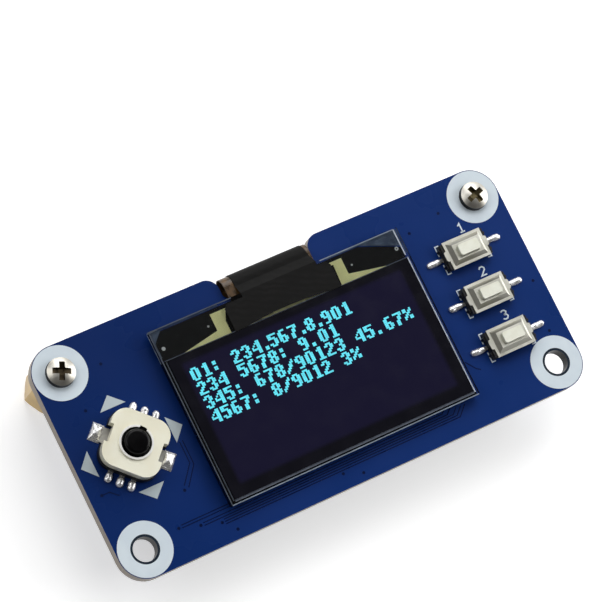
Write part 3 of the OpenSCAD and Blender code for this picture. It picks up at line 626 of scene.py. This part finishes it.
def disc(centre: Point, radius: float, low: float, thick: float, hole: float = 0.0) -> Object:
    """Makes a small round dot, or a ring.

    Args:
        centre: Its place.
        radius: Its radius.
        low: The height of its underside.
        thick: Its thickness.
        hole: The radius of its hole, or 0 for none.

    Returns:
        The dot.
    """
    clear_selection()
    bpy.ops.mesh.primitive_circle_add(
        vertices=DOT_SIDES, radius=radius, fill_type="NGON", location=(*centre, low)
    )
    obj = bpy.context.object
    if hole:
        edit_all()
        bpy.ops.mesh.inset(thickness=radius - hole)
        bpy.ops.mesh.delete(type="FACE")
    raise_face(obj, thick)
    return obj


def ribbon(path: list[Point], width: float, low: float, thick: float) -> Object:
    """Extrudes a flat strip along a bent path, with mitred corners.

    Args:
        path: The points of its centre line, in metres.
        width: Its width.
        low: The height of its underside.
        thick: Its thickness.

    Returns:
        The strip.
    """
    points = [Vector(p) for p in path]
    ways = [(b - a).normalized() for a, b in zip(points, points[1:])]
    sides = []
    for i, point in enumerate(points):
        before, after = ways[max(0, i - 1)], ways[min(i, len(ways) - 1)]
        middle = (before + after).normalized()
        reach = width / 2 / max(MITRE_LIMIT, middle.dot(after))
        side = Vector((-middle.y, middle.x)) * reach
        sides.append((point + side, point - side))
    clear_selection()
    bpy.ops.mesh.primitive_plane_add(size=MM)
    obj = bpy.context.object
    bpy.ops.object.mode_set(mode="EDIT")
    mesh = bmesh.from_edit_mesh(obj.data)
    corners = list(mesh.faces[:][0].verts)
    for vert, spot in zip(corners, (sides[0][0], sides[0][1], sides[1][1], sides[1][0])):
        vert.co = (*spot, low)
    last = (corners[3], corners[2])
    for left, right in sides[2:]:
        for element in (*mesh.verts, *mesh.edges, *mesh.faces):
            element.select = False
        edge = mesh.edges.get(last)
        edge.select = True
        for vert in edge.verts:
            vert.select = True
        bmesh.update_edit_mesh(obj.data)
        ends = [Vector(v.co) for v in last]
        bpy.ops.mesh.extrude_edges_move()
        mesh = bmesh.from_edit_mesh(obj.data)
        fresh = [v for v in mesh.verts if v.select]
        fresh.sort(key=lambda v: (Vector(v.co) - ends[0]).length)
        fresh[0].co, fresh[1].co = (*left, low), (*right, low)
        last = (fresh[0], fresh[1])
        bmesh.update_edit_mesh(obj.data)
    raise_face(obj, thick)
    return obj


def joined(pieces: list[Object]) -> Object:
    """Joins pieces of one kind into one object."""
    clear_selection()
    for piece in pieces:
        piece.select_set(True)
    bpy.context.view_layer.objects.active = pieces[0]
    bpy.ops.object.join()
    return bpy.context.object


def dress(node: str, material: Material) -> None:
    """Gives a solid its finish in place of the plain one."""
    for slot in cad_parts[node].material_slots:
        slot.material = material


# -------- sub-assemblies


@dataclass
class Board:
    """The circuit board: its mask, its print, and the copper that shows under the mask."""

    mask: Finish = BoardFinish(
        "solder_mask", (0.0054, 0.031, 0.170), (0.0050, 0.029, 0.158), 0.3,
        specular=0.11, grain_mm=0.35, cloud_mm=9.0, bump_mm=0.0012,
    )
    ink: Finish = InkFinish(
        "printed_ink", (0.74, 0.83, 0.89), (0.69, 0.78, 0.85), 0.6, specular=0.3, grain_mm=0.1
    )
    copper: Finish = Finish(
        "masked_copper", (0.0022, 0.0085, 0.046), (0.0019, 0.007, 0.038), 0.3, specular=0.1
    )
    trace_w: float = 0.13 * MM
    trace_relief: float = 0.008 * MM
    dot_r: float = 0.2 * MM
    dot_relief: float = 0.016 * MM
    digit_place_mm: Point = (1.15, 2.86)
    digit_scale: Point = (0.92, 0.9)
    stroke_w: float = 0.18 * MM
    stroke_relief: float = 0.03 * MM

    def build(self) -> None:
        """Dresses the board and adds its traces, its dots and the key numbers."""
        dress("circuit_board", self.mask.make())
        dress("printed_marks", self.ink.make())
        self.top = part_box("circuit_board")[1].z
        self.traces()
        self.digits()

    def traces(self) -> None:
        """Adds the traces and the small dots that show on the top face."""
        copper = self.copper.make()
        paths = [
            [(-23.8, -10.68), (-16.6, -10.68)],
            [(-23.8, -11.02), (-16.6, -11.02)],
            [(-21.2, -11.50), (12.2, -11.50), (12.8, -11.0)],
            [(-21.2, -11.84), (12.8, -11.84), (13.5, -11.2)],
            [(-18.7, -12.12), (13.5, -12.12), (14.3, -11.4)],
            [(-18.7, -12.42), (13.9, -12.42), (14.9, -11.5)],
            [(-18.7, -12.72), (14.2, -12.72), (15.5, -11.5)],
            [(-19.45, -1.6), (-19.45, -4.4), (-21.3, -6.6)],
            [(-19.05, -1.6), (-19.05, -4.7), (-20.9, -7.0)],
            [(-30.9, -3.7), (-29.9, -3.7), (-28.9, -4.6)],
            [(19.5, -8.5), (19.0, -8.2), (18.0, -6.9)],
        ]
        dots = [
            (-28.2, 6.2), (-24.0, 10.6), (-30.9, -3.7), (-24.2, -10.9), (-21.6, -11.65),
            (-19.07, -12.4), (-17.67, -13.86), (-21.5, -7.1), (23.8, 11.3), (19.1, 10.4),
            (31.2, -1.1), (30.1, -7.6), (-0.3, -14.0), (-2.7, -13.1),
        ]
        strips = [ribbon(metres(path), self.trace_w, self.top, self.trace_relief) for path in paths]
        hand_over(joined(strips), "board_traces", copper)
        rings = [disc(spot, self.dot_r, self.top, self.dot_relief) for spot in metres(dots)]
        hand_over(joined(rings), "board_vias", copper)

    def digits(self) -> None:
        """Adds the plain key numbers."""
        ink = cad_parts["printed_marks"].material_slots[0].material
        strokes = {
            1: [[(-0.32, 0.34), (0.02, 0.62), (0.02, -0.62)], [(-0.34, -0.62), (0.38, -0.62)]],
            2: [[(-0.38, 0.36), (-0.2, 0.6), (0.18, 0.6), (0.38, 0.38), (0.34, 0.12),
                 (-0.4, -0.6), (0.42, -0.6)]],
            3: [[(-0.38, 0.5), (-0.12, 0.62), (0.2, 0.58), (0.36, 0.36), (0.22, 0.1), (-0.1, 0.03)],
                [(-0.1, 0.03), (0.26, -0.04), (0.4, -0.3), (0.22, -0.58), (-0.12, -0.63),
                 (-0.42, -0.48)]],
        }
        wide, tall = self.digit_scale
        for number, lines in strokes.items():
            low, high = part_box(f"key_{number}_base")
            x = (low.x + high.x) / 2 + self.digit_place_mm[0] * MM
            y = (low.y + high.y) / 2 + self.digit_place_mm[1] * MM
            paths = [[(x + wide * a * MM, y + tall * b * MM) for a, b in line] for line in lines]
            made = [ribbon(path, self.stroke_w, self.top, self.stroke_relief) for path in paths]
            hand_over(joined(made), f"key_number_{number}", ink)


@dataclass
class Display:
    """The display: glass, film, what lies on the ledge, and the lit picture elements."""

    pitch: float = 0.2325 * MM
    columns: int = 128
    rows: int = 64
    glyph_columns: int = 5
    glyph_rows: int = 7
    line_rows: int = 8
    advance: int = 6
    dot_advance: int = 4
    left_mm: float = -14.95
    top_mm: float = -5.53
    first_row: int = 2
    lit: float = 0.96
    lit_gap: float = 0.004 * MM
    lit_relief: float = 0.006 * MM
    rim_relief: float = 0.006 * MM
    rim_deep: float = 0.7
    foil: float = 0.02 * MM
    foil_gap: float = 0.03 * MM
    lines: tuple[str, ...] = (
        "01: 234.567.8.901", "234 5678: 9.01", "345: 678/90123 45.67%", "4567: 8/9012 3%"
    )

    # each sign is seven rows of five elements, with two hexadecimal figures to a row
    GLYPHS = {
        "0": "0e1b1b1b1b1b0e", "1": "060e060606060f", "2": "0e1b03060c181f", "3": "0e1b0306031b0e",
        "4": "03070b131f0303", "5": "1f181e03031b0e", "6": "0e18181e1b1b0e", "7": "1f0306060c0c0c",
        "8": "0e1b1b0e1b1b0e", "9": "0e1b1b0f03030e", ":": "000c0c000c0c00", ".": "00000000000c0c",
        "/": "010306060c1810", "%": "191b060c1b1300", " ": "00000000000000",
    }

    def build(self) -> None:
        """Dresses the display and adds its traces, its rims painted as highlights, and its picture.
        """
        self.low, self.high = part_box("front_glass")
        middle = (self.low.x + self.high.x) / 2
        left, top = middle + self.left_mm * MM, self.high.y + self.top_mm * MM
        right, bottom = left + self.columns * self.pitch, top - self.rows * self.pitch
        self.corner = (left, top)
        film = FilmFinish(
            "display_film", (0.0056, 0.0054, 0.0096), (0.0046, 0.0045, 0.0080), 0.12,
            specular=0.35, bump_mm=0.0004, low=(left, bottom), high=(right, top),
        )
        dress("polariser", film.make())
        dress("front_glass", glass_material("front_glass", (0.93, 0.97, 1.0)))
        dress("cap_glass", glass_material("rear_glass", (0.55, 0.60, 0.66)))
        plain = {
            "light_shield": Finish(
                "black_shield", (0.0011, 0.0011, 0.0009), (0.0007, 0.0007, 0.0006), 0.5,
                specular=0.06,
            ),
            "driver_chip": Finish("silicon", (0.03, 0.03, 0.035), (0.02, 0.02, 0.025), 0.2),
            "panel_pad": Finish(
                "foam_pad", (0.05, 0.05, 0.05), (0.03, 0.03, 0.03), 0.9, grain_mm=0.08, bump_mm=0.01
            ),
        }
        for node, finish in plain.items():
            dress(node, finish.make())
        self.ledge()
        self.rims()
        self.picture()

    def ledge(self) -> None:
        """Adds what lies on the ledge, under the front glass: conductors, frosted corners, dots."""
        khaki = Finish(
            "khaki_conductor", (0.98, 0.92, 0.42), (0.88, 0.82, 0.36), 0.5,
            specular=0.3, cloud_mm=1.5,
        ).make()
        low = self.low.z - self.foil_gap
        shapes = [
            [(-6.2, 10.75), (-9.4, 10.75), (-9.4, 8.6), (-15.0, 7.6), (-7.9, 7.5), (-7.9, 9.3),
             (-7.4, 10.4), (-6.2, 10.4)],
            [(5.8, 10.8), (9.05, 10.8), (9.05, 8.65), (14.6, 7.6), (7.6, 7.6), (7.75, 10.4),
             (5.8, 10.4)],
            [(-6.3, 7.3), (-6.3, 7.55), (-5.0, 7.85), (-4.0, 8.05), (4.2, 8.05), (5.3, 7.85),
             (6.3, 7.55), (6.3, 7.3)],
        ]
        made = [plate(metres(shape), low, self.foil) for shape in shapes]
        hand_over(joined(made), "ledge_conductors", khaki)
        milky = Finish(
            "milky_glass_edge", (0.092, 0.125, 0.185), (0.048, 0.068, 0.11), 0.5,
            specular=0.2, cloud_mm=1.6,
        ).make()
        left, right = self.low.x / MM + 0.06, self.high.x / MM - 0.06
        top = self.high.y / MM - 0.1
        corners = [
            [(17.07, 8.2), (right, 8.2), (right, top), (7.3, top), (7.3, 11.33), (11.87, 11.33),
             (17.07, 9.24)],
            [(left, 8.2), (-17.16, 8.2), (-17.16, 10.05), (-15.86, 11.34), (-8.0, 11.34),
             (-8.0, top), (left, top)],
        ]
        made = [plate(metres(corner), low - self.foil_gap, self.foil) for corner in corners]
        hand_over(joined(made), "ledge_milky_corners", milky)
        white = Finish("white_dot", (0.7, 0.7, 0.66), (0.55, 0.55, 0.5), 0.5).make()
        dots = (
            (-16.5, 9.15, 0.24, 0.0), (-10.2, 9.5, 0.14, 0.0),
            (9.95, 9.5, 0.12, 0.0), (16.2, 9.15, 0.25, 0.1),
        )
        made = [disc((x * MM, y * MM), r * MM, low, self.foil, h * MM) for x, y, r, h in dots]
        hand_over(joined(made), "ledge_dots", white)

    def rims(self) -> None:
        """Adds fine lines along the panel's ground, cut edges, painted as highlights and
        reflections, brightest on the right.

        Each line is its points and its width, in millimetres, and its height.
        """
        z, low_z = self.high.z, self.low.z
        x0, x1, y0, y1 = (v / MM for v in (self.low.x, self.high.x, self.low.y, self.high.y))
        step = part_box("polariser")[1].y / MM + 0.2
        # painted highlights and reflections on the glass edges, named from bright to dim
        lines = {
            "bright": ((0.52, 0.58, 0.68), [
                ([(x1 - 0.45, y0 + 0.45), (x1 - 0.45, step)], 0.15, z),
                ([(x1 - 0.55, step + 0.3), (x1 - 0.55, y1 - 0.16)], 0.15, z)]),
            "pale": ((0.27, 0.32, 0.40), [
                ([(x0 + 0.08, y0 + 0.06), (x1 - 0.1, y0 + 0.06)], 0.13, z),
                ([(x0 + 0.04, step - 0.1), (x0 + 0.04, y1 - 0.06), (x0 + 1.3, y1 - 0.06)],
                 0.12, low_z),
                ([(x1 - 0.55, y1 - 0.16), (6.2, y1 - 0.16)], 0.12, z)]),
            "band": ((0.135, 0.155, 0.20), [
                ([(x0 + 0.6, y0 + 0.5), (x1 - 0.6, y0 + 0.5)], 0.34, z)]),
            "dim": ((0.075, 0.09, 0.115), [
                ([(x0 + 0.06, y0 + 0.1), (x0 + 0.06, y1 - 0.06), (-6.2, y1 - 0.06)], 0.14, z),
                ([(x0 + 0.45, y0 + 0.5), (x0 + 0.45, step - 0.2)], 0.15, z),
                ([(x0 + 0.83, y0 + 0.8), (x0 + 0.83, -5.2)], 0.1, z),
                ([(x1 - 0.8, y0 + 0.6), (x1 - 0.8, step - 0.3)], 0.1, z),
                ([(x0 + 0.35, step - 0.05), (x1 - 0.4, step - 0.05)], 0.08, z)]),
        }
        for name, (tone, paths) in lines.items():
            deep = tuple(self.rim_deep * part for part in tone)
            finish = Finish(f"{name}_edge_highlight", tone, deep, 0.4, specular=0.2, cloud_mm=1.2)
            strips = [
                ribbon(metres(path), wide * MM, low, self.rim_relief) for path, wide, low in paths
            ]
            hand_over(joined(strips), f"{name}_rim_highlights", finish.make())

    def picture(self) -> None:
        """Cuts the lit elements out of a grid over the picture's area."""
        left, top = self.corner
        clear_selection()
        bpy.ops.mesh.primitive_grid_add(
            x_subdivisions=self.columns, y_subdivisions=self.rows, size=1.0
        )
        obj = bpy.context.object
        wide, tall = self.columns * self.pitch, self.rows * self.pitch
        obj.scale = (wide, tall, 1.0)
        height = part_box("polariser")[1].z + self.lit_gap
        obj.location = (left + wide / 2, top - tall / 2, height)
        bpy.ops.object.transform_apply()
        lit = self.lit_cells()
        bpy.ops.object.mode_set(mode="EDIT")
        bpy.ops.mesh.select_mode(type="FACE")
        mesh = bmesh.from_edit_mesh(obj.data)
        for face in mesh.faces:
            spot = face.calc_center_median()
            cell = (int((spot.x - left) / self.pitch), int((top - spot.y) / self.pitch))
            face.select_set(cell not in lit)
        bmesh.update_edit_mesh(obj.data)
        bpy.ops.mesh.delete(type="FACE")
        bpy.ops.mesh.select_all(action="SELECT")
        bpy.ops.mesh.inset(thickness=self.pitch * (1 - self.lit) / 2, use_individual=True)
        bpy.ops.mesh.select_all(action="INVERT")
        bpy.ops.mesh.delete(type="FACE")
        raise_face(obj, self.lit_relief)
        cyan = glow_material("lit_element", (0.12, 0.83, 1.0), 1.0)
        hand_over(obj, "lit_picture", cyan)

    def lit_cells(self) -> set[tuple[int, int]]:
        """Returns the column and row of each lit element."""
        cells = set()
        for line, words in enumerate(self.lines):
            start = 0
            for sign in words:
                bits = self.GLYPHS[sign]
                for row in range(self.glyph_rows):
                    value = int(bits[2 * row:2 * row + 2], 16)
                    for column in range(self.glyph_columns):
                        if value >> (self.glyph_columns - 1 - column) & 1:
                            down = self.first_row + self.line_rows * line + row
                            cells.add((start + column, down))
                start += self.dot_advance if sign == "." and not line else self.advance
        return cells


@dataclass
class FlexAndTape:
    """The flexible tail, its joints and the tape over it."""

    def build(self) -> None:
        """Dresses the tail and the tape."""
        amber = Finish("amber_film", (0.12, 0.062, 0.018), (0.045, 0.026, 0.010), 0.3, cloud_mm=0.6)
        solder = Finish("solder", (0.78, 0.78, 0.76), (0.6, 0.6, 0.58), 0.22, Surface.METAL)
        tape = WovenFinish(
            "ribbed_tape", (0.0072, 0.0070, 0.0067), (0.0038, 0.0037, 0.0035), 0.55, specular=0.12
        )
        for node, finish in (("flex_tail", amber), ("flex_solder", solder), ("flex_tape", tape)):
            dress(node, finish.make())


@dataclass
class Controls:
    """The joystick and the three keys."""

    cover: Finish = CoverFinish(
        "joystick_cover", (0.98, 0.96, 0.80), (0.95, 0.91, 0.72), 0.42, Surface.SATIN,
        grain_mm=0.2, cloud_mm=3.2, bump_mm=0.0006, spread=0.06,
    )
    key_metal: Finish = KeyFinish(
        "key_metal", (0.78, 0.77, 0.69), (0.70, 0.69, 0.60), 0.33, Surface.POLISHED,
        grain_mm=0.6, cloud_mm=2.4, bump_mm=0.0002,
    )
    tin: Finish = Finish(
        "tinned_metal", (0.97, 0.97, 0.98), (0.80, 0.78, 0.77), 0.27, Surface.POLISHED,
        grain_mm=0.7, cloud_mm=0.6, bump_mm=0.012, spread=0.1,
    )
    base: Finish = Finish(
        "black_moulding", (0.009, 0.009, 0.010), (0.005, 0.005, 0.006), 0.4,
        specular=0.4, grain_mm=0.1,
    )
    rubber: Finish = Finish(
        "black_stick", (0.0016, 0.0013, 0.0018), (0.0010, 0.0009, 0.0012), 0.22,
        specular=0.16, grain_mm=0.15,
    )
    cream: Finish = Finish(
        "cream_button", (0.93, 0.94, 0.82), (0.88, 0.88, 0.75), 0.4, specular=0.35, cloud_mm=0.8
    )
    spring: Finish = Finish(
        "spring_steel", (0.62, 0.61, 0.6), (0.5, 0.49, 0.48), 0.3, Surface.METAL
    )
    melt_grid: float = 0.05 * MM
    melt_rounds: int = 9
    melt_share: float = 0.5
    lump_size: float = 0.8 * MM
    lump_rise: float = 0.13 * MM
    lump_middle: float = 0.45
    notch_deg: float = 38.0
    notch_w: float = 0.92 * MM
    notch_span: Point = (2.14 * MM, 3.1 * MM)
    cover_sheet: float = 0.22 * MM
    dome_sheet: float = 0.07 * MM
    dome_sides: int = 48
    dome_steps_deg: tuple[int, ...] = (15, 30, 45, 60, 75, 86)
    dome_crease_deg: float = 40.0
    key_dome_keep: float = 0.5
    centre_dome_keep: float = 0.35

    def build(self) -> None:
        """Dresses every part of the joystick and the keys."""
        finishes = (self.cover, self.key_metal, self.tin, self.base, self.cream, self.spring)
        cover, metal, tin, base, cream, spring = (finish.make() for finish in finishes)
        dress("joystick_cover", cover)
        dress("joystick_base", base)
        dress("joystick_stick", self.rubber.make())
        dress("joystick_legs", tin)
        self.solder(tin)
        # the ring and the plate take the black moulding as painted shade, so the gap round the
        # stick reads dark
        for node in ("joystick_ring", "joystick_plate"):
            dress(node, base)
        dress("joystick_side_leaves", spring)
        parts = {"base": base, "cover": metal, "button": cream, "legs": tin}
        for number in (1, 2, 3):
            for part, material in parts.items():
                dress(f"key_{number}_{part}", material)
            self.dome(f"key_{number}_dome", spring)
        self.dome("joystick_centre_dome", spring)
        self.notch_end(cover)

    def solder(self, tin: Material) -> None:
        """Replaces the solder's plain tapers by the same ones melted into soft, uneven lumps."""
        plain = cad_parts["solder_joints"]
        obj = bpy.data.objects.new("solder_lumps", plain.data.copy())
        bpy.context.collection.objects.link(obj)
        obj.matrix_world = plain.matrix_world.copy()
        pick(obj)
        bpy.ops.object.transform_apply()
        molten = bpy.data.textures.new("molten", "CLOUDS")
        molten.noise_scale, molten.noise_depth = self.lump_size, 1
        remesh = obj.modifiers.new("remesh", "REMESH")
        remesh.mode, remesh.voxel_size = "VOXEL", self.melt_grid
        smooth = obj.modifiers.new("smooth", "SMOOTH")
        smooth.factor, smooth.iterations = self.melt_share, self.melt_rounds
        lumps = obj.modifiers.new("lumps", "DISPLACE")
        lumps.texture, lumps.texture_coords = molten, "LOCAL"
        lumps.strength, lumps.mid_level = self.lump_rise, self.lump_middle
        for modifier in (remesh, smooth, lumps):
            bpy.ops.object.modifier_apply(modifier=modifier.name)
        bpy.ops.object.shade_smooth()
        hand_over(obj, "solder_lumps", tin)
        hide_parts("solder_joints")

    def notch_end(self, cover: Material) -> None:
        """Closes the outer end of the cover's notch, which should stop just past the collar."""
        turn, half = math.radians(self.notch_deg), self.notch_w / 2
        way = Vector((math.cos(turn), math.sin(turn)))
        side = Vector((-math.sin(turn), math.cos(turn)))
        middle = Vector(metres([STICK_MM])[0])
        near, far = self.notch_span
        places = ((near, -half), (far, -half), (far, half), (near, half))
        corners = [middle + way * out + side * aside for out, aside in places]
        low = COVER_TOP_MM * MM - self.cover_sheet
        piece = plate([(corner.x, corner.y) for corner in corners], low, self.cover_sheet)
        hand_over(piece, "cover_notch_end", cover)

    def dome(self, node: str, spring: Material) -> None:
        """Replaces a spring dome by a thin dome sheet of the same width and height.

        Args:
            node: The solid that it stands for.
            spring: Its material.
        """
        low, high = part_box(node)
        radius, height = (high.x - low.x) / 2, high.z - low.z
        x, y = (low.x + high.x) / 2, (low.y + high.y) / 2
        sheet = self.dome_sheet
        clear_selection()
        bpy.ops.mesh.primitive_circle_add(
            vertices=self.dome_sides, radius=radius - sheet / 2, location=(x, y, low.z)
        )
        obj = bpy.context.object
        bpy.ops.object.transform_apply()
        edit_all()
        last, level = 1.0, 0.0
        for angle in map(math.radians, self.dome_steps_deg):
            wide, tall = math.cos(angle), math.sin(angle) * (height - sheet)
            rise = {"value": (0.0, 0.0, tall - level)}
            bpy.ops.mesh.extrude_region_move(TRANSFORM_OT_translate=rise)
            shrink = (wide / last, wide / last, 1.0)
            bpy.ops.transform.resize(value=shrink, center_override=(x, y, low.z))
            last, level = wide, tall
        bpy.ops.mesh.edge_face_add()
        bpy.ops.object.mode_set(mode="OBJECT")
        shell = obj.modifiers.new("sheet", "SOLIDIFY")
        shell.thickness, shell.offset = sheet, 1.0
        bpy.ops.object.modifier_apply(modifier=shell.name)
        close_up(obj)
        bpy.ops.object.shade_smooth_by_angle(angle=math.radians(self.dome_crease_deg))
        hand_over(obj, f"pressed_{node}", spring)
        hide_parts(node)
        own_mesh(obj)


@dataclass
class Underside:
    """The header, the standoffs with their screws, and the small parts underneath."""

    crown_fall: float = 0.1635
    # painted shade in each screw head's cross-shaped hollow, darker on the left screw
    recess_shades: tuple[tuple[str, Colour], ...] = (
        ("left", (0.075, 0.058, 0.036)), ("right", (0.17, 0.14, 0.075))
    )

    def build(self) -> None:
        """Dresses what lies below the board, and the screws."""
        moulding = Finish("header_moulding", (0.018, 0.018, 0.019), (0.010, 0.010, 0.011), 0.5)
        gold = Finish("gold_flash", (0.85, 0.62, 0.25), (0.7, 0.48, 0.17), 0.25, Surface.METAL)
        brass = Finish("turned_brass", (0.52, 0.37, 0.15), (0.42, 0.29, 0.11), 0.32, Surface.METAL)
        tan = Finish("tan_ceramic", (0.46, 0.33, 0.20), (0.40, 0.28, 0.16), 0.45)
        black = Finish("black_ceramic", (0.018, 0.018, 0.02), (0.012, 0.012, 0.013), 0.35)
        dress("header_body", moulding.make())
        dress("header_contacts", gold.make())
        turned = brass.make()
        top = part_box("screw_left")[1].z / MM
        for side, recess_shade in self.recess_shades:
            nickel = ScrewFinish(
                f"nickel_screw_{side}", (0.70, 0.68, 0.62), (0.60, 0.57, 0.50), 0.38,
                Surface.METAL, grain_mm=0.4, cloud_mm=1.2, bump_mm=0.003, recess_shade=recess_shade,
                place_mm=HOLE_MM, top_mm=top, fall_per_mm=self.crown_fall,
            )
            dress(f"standoff_{side}", turned)
            dress(f"screw_{side}", nickel.make())
        dress("capacitors", tan.make())
        dress("resistors", black.make())


@dataclass
class Studio:
    """The floor, the lamps, the pale surroundings and the camera."""

    eye: Place = (-0.13781, -0.04330, 0.35906)
    look: Place = (0.36757, 0.13493, -0.92015)
    up: Place = (0.36831, 0.88740, 0.27726)
    lens: float = 188.63
    sensor: float = 36.0
    clip: Point = (0.01, 20.0)
    sky: float = 0.08
    sides: float = 0.55
    horizon: Point = (0.2, 0.5)
    turn_to_light: Point = (-0.9, 0.5)
    side_least: float = 0.3
    side_gain: float = 0.9
    floor_size: float = 4.0
    floor_drop: float = 0.05 * MM
    floor_tone: float = 0.88
    floor_roughness: float = 0.9
    floor_glow: float = 0.52
    lamps: tuple[tuple[str, Place, float, float], ...] = (
        ("back_lamp", (0.30, 0.58, 0.60), 0.75, 5.2),
        ("right_lamp", (0.78, -0.12, 0.45), 0.65, 4.4),
        ("left_lamp", (-0.48, 0.36, 0.55), 0.55, 1.6),
    )

    def build(self) -> None:
        """Sets up the studio."""
        self.floor()
        self.world()
        for name, place, size, power in self.lamps:
            self.lamp(name, place, size, power)
        self.camera()
        bpy.context.scene.view_settings.view_transform = "Standard"

    def floor(self) -> None:
        """Adds the pale floor, lifted towards white for the eye but not for the object."""
        clear_selection()
        bpy.ops.mesh.primitive_plane_add(size=self.floor_size, location=(0, 0, -self.floor_drop))
        plane = bpy.context.object
        plane.name = "floor"
        material, graph, shader = blank("pale_floor")
        shader.inputs["Base Color"].default_value = (*3 * (self.floor_tone,), 1.0)
        shader.inputs["Roughness"].default_value = self.floor_roughness
        rays = graph.add("ShaderNodeLightPath").outputs
        shiny = graph.math("MAXIMUM", rays["Is Glossy Ray"], rays["Is Transmission Ray"])
        seen = graph.math("MAXIMUM", rays["Is Camera Ray"], shiny)
        light = {
            "Color": (1.0, 1.0, 1.0, 1.0),
            "Strength": graph.math("MULTIPLY", seen, self.floor_glow),
        }
        glow = graph.add("ShaderNodeEmission", light)
        both = graph.add("ShaderNodeAddShader", {0: shader.outputs[0], 1: glow.outputs[0]})
        out = material.node_tree.nodes["Material Output"]
        graph.tree.links.new(both.outputs[0], out.inputs["Surface"])
        plane.data.materials.append(material)

    def world(self) -> None:
        """Sets the surroundings: pale to the eye and round the sides, dark overhead."""
        world = bpy.data.worlds.new("studio")
        world.use_nodes = True
        bpy.context.scene.world = world
        graph = Graph(world.node_tree)
        rays = graph.add("ShaderNodeLightPath").outputs
        way = graph.add("ShaderNodeTexCoord").outputs["Generated"]
        east, north, height = graph.split(way)
        low = graph.math("SUBTRACT", 1.0, graph.step(height, *self.horizon))
        lit = graph.step(graph.math("ADD", east, north), *self.turn_to_light)
        share = graph.math("ADD", self.side_least, graph.math("MULTIPLY", lit, self.side_gain))
        low = graph.math("MULTIPLY", low, share)
        shiny = graph.math("MAXIMUM", rays["Is Glossy Ray"], rays["Is Transmission Ray"])
        ring = graph.math("MULTIPLY", graph.math("MULTIPLY", shiny, low), self.sides)
        around = graph.math("ADD", ring, self.sky)
        strength = graph.math("MAXIMUM", rays["Is Camera Ray"], around)
        back = world.node_tree.nodes["Background"]
        back.inputs["Color"].default_value = (1.0, 1.0, 1.0, 1.0)
        graph.tree.links.new(strength, back.inputs["Strength"])

    def lamp(self, name: str, place: Place, size: float, power: float) -> None:
        """Adds a soft lamp that faces the module.

        Args:
            name: Its name.
            place: Its place.
            size: The side of its square.
            power: Its power in watts.
        """
        clear_selection()
        bpy.ops.object.light_add(type="AREA", location=place)
        lamp = bpy.context.object
        lamp.name = name
        lamp.data.shape = "SQUARE"
        lamp.data.size = size
        lamp.data.energy = power
        lamp.rotation_mode = "QUATERNION"
        lamp.rotation_quaternion = (-Vector(place)).to_track_quat("-Z", "Y")

    def camera(self) -> None:
        """Adds the camera."""
        clear_selection()
        bpy.ops.object.camera_add()
        camera = bpy.context.object
        look, up = Vector(self.look).normalized(), Vector(self.up).normalized()
        right = look.cross(up).normalized()
        up = right.cross(look)
        turn = Matrix((right, up, -look)).transposed().to_4x4()
        camera.matrix_world = Matrix.Translation(Vector(self.eye)) @ turn
        camera.data.lens = self.lens
        camera.data.sensor_width = self.sensor
        camera.data.clip_start, camera.data.clip_end = self.clip
        bpy.context.scene.camera = camera


def main() -> None:
    """Builds the module's looks."""
    logging.basicConfig(level=logging.INFO, format="%(message)s")
    for part in (Studio(), Board(), Display(), FlexAndTape(), Controls(), Underside()):
        part.build()
        LOG.info("built %s", type(part).__name__)


if __name__ == "__main__":
    main()
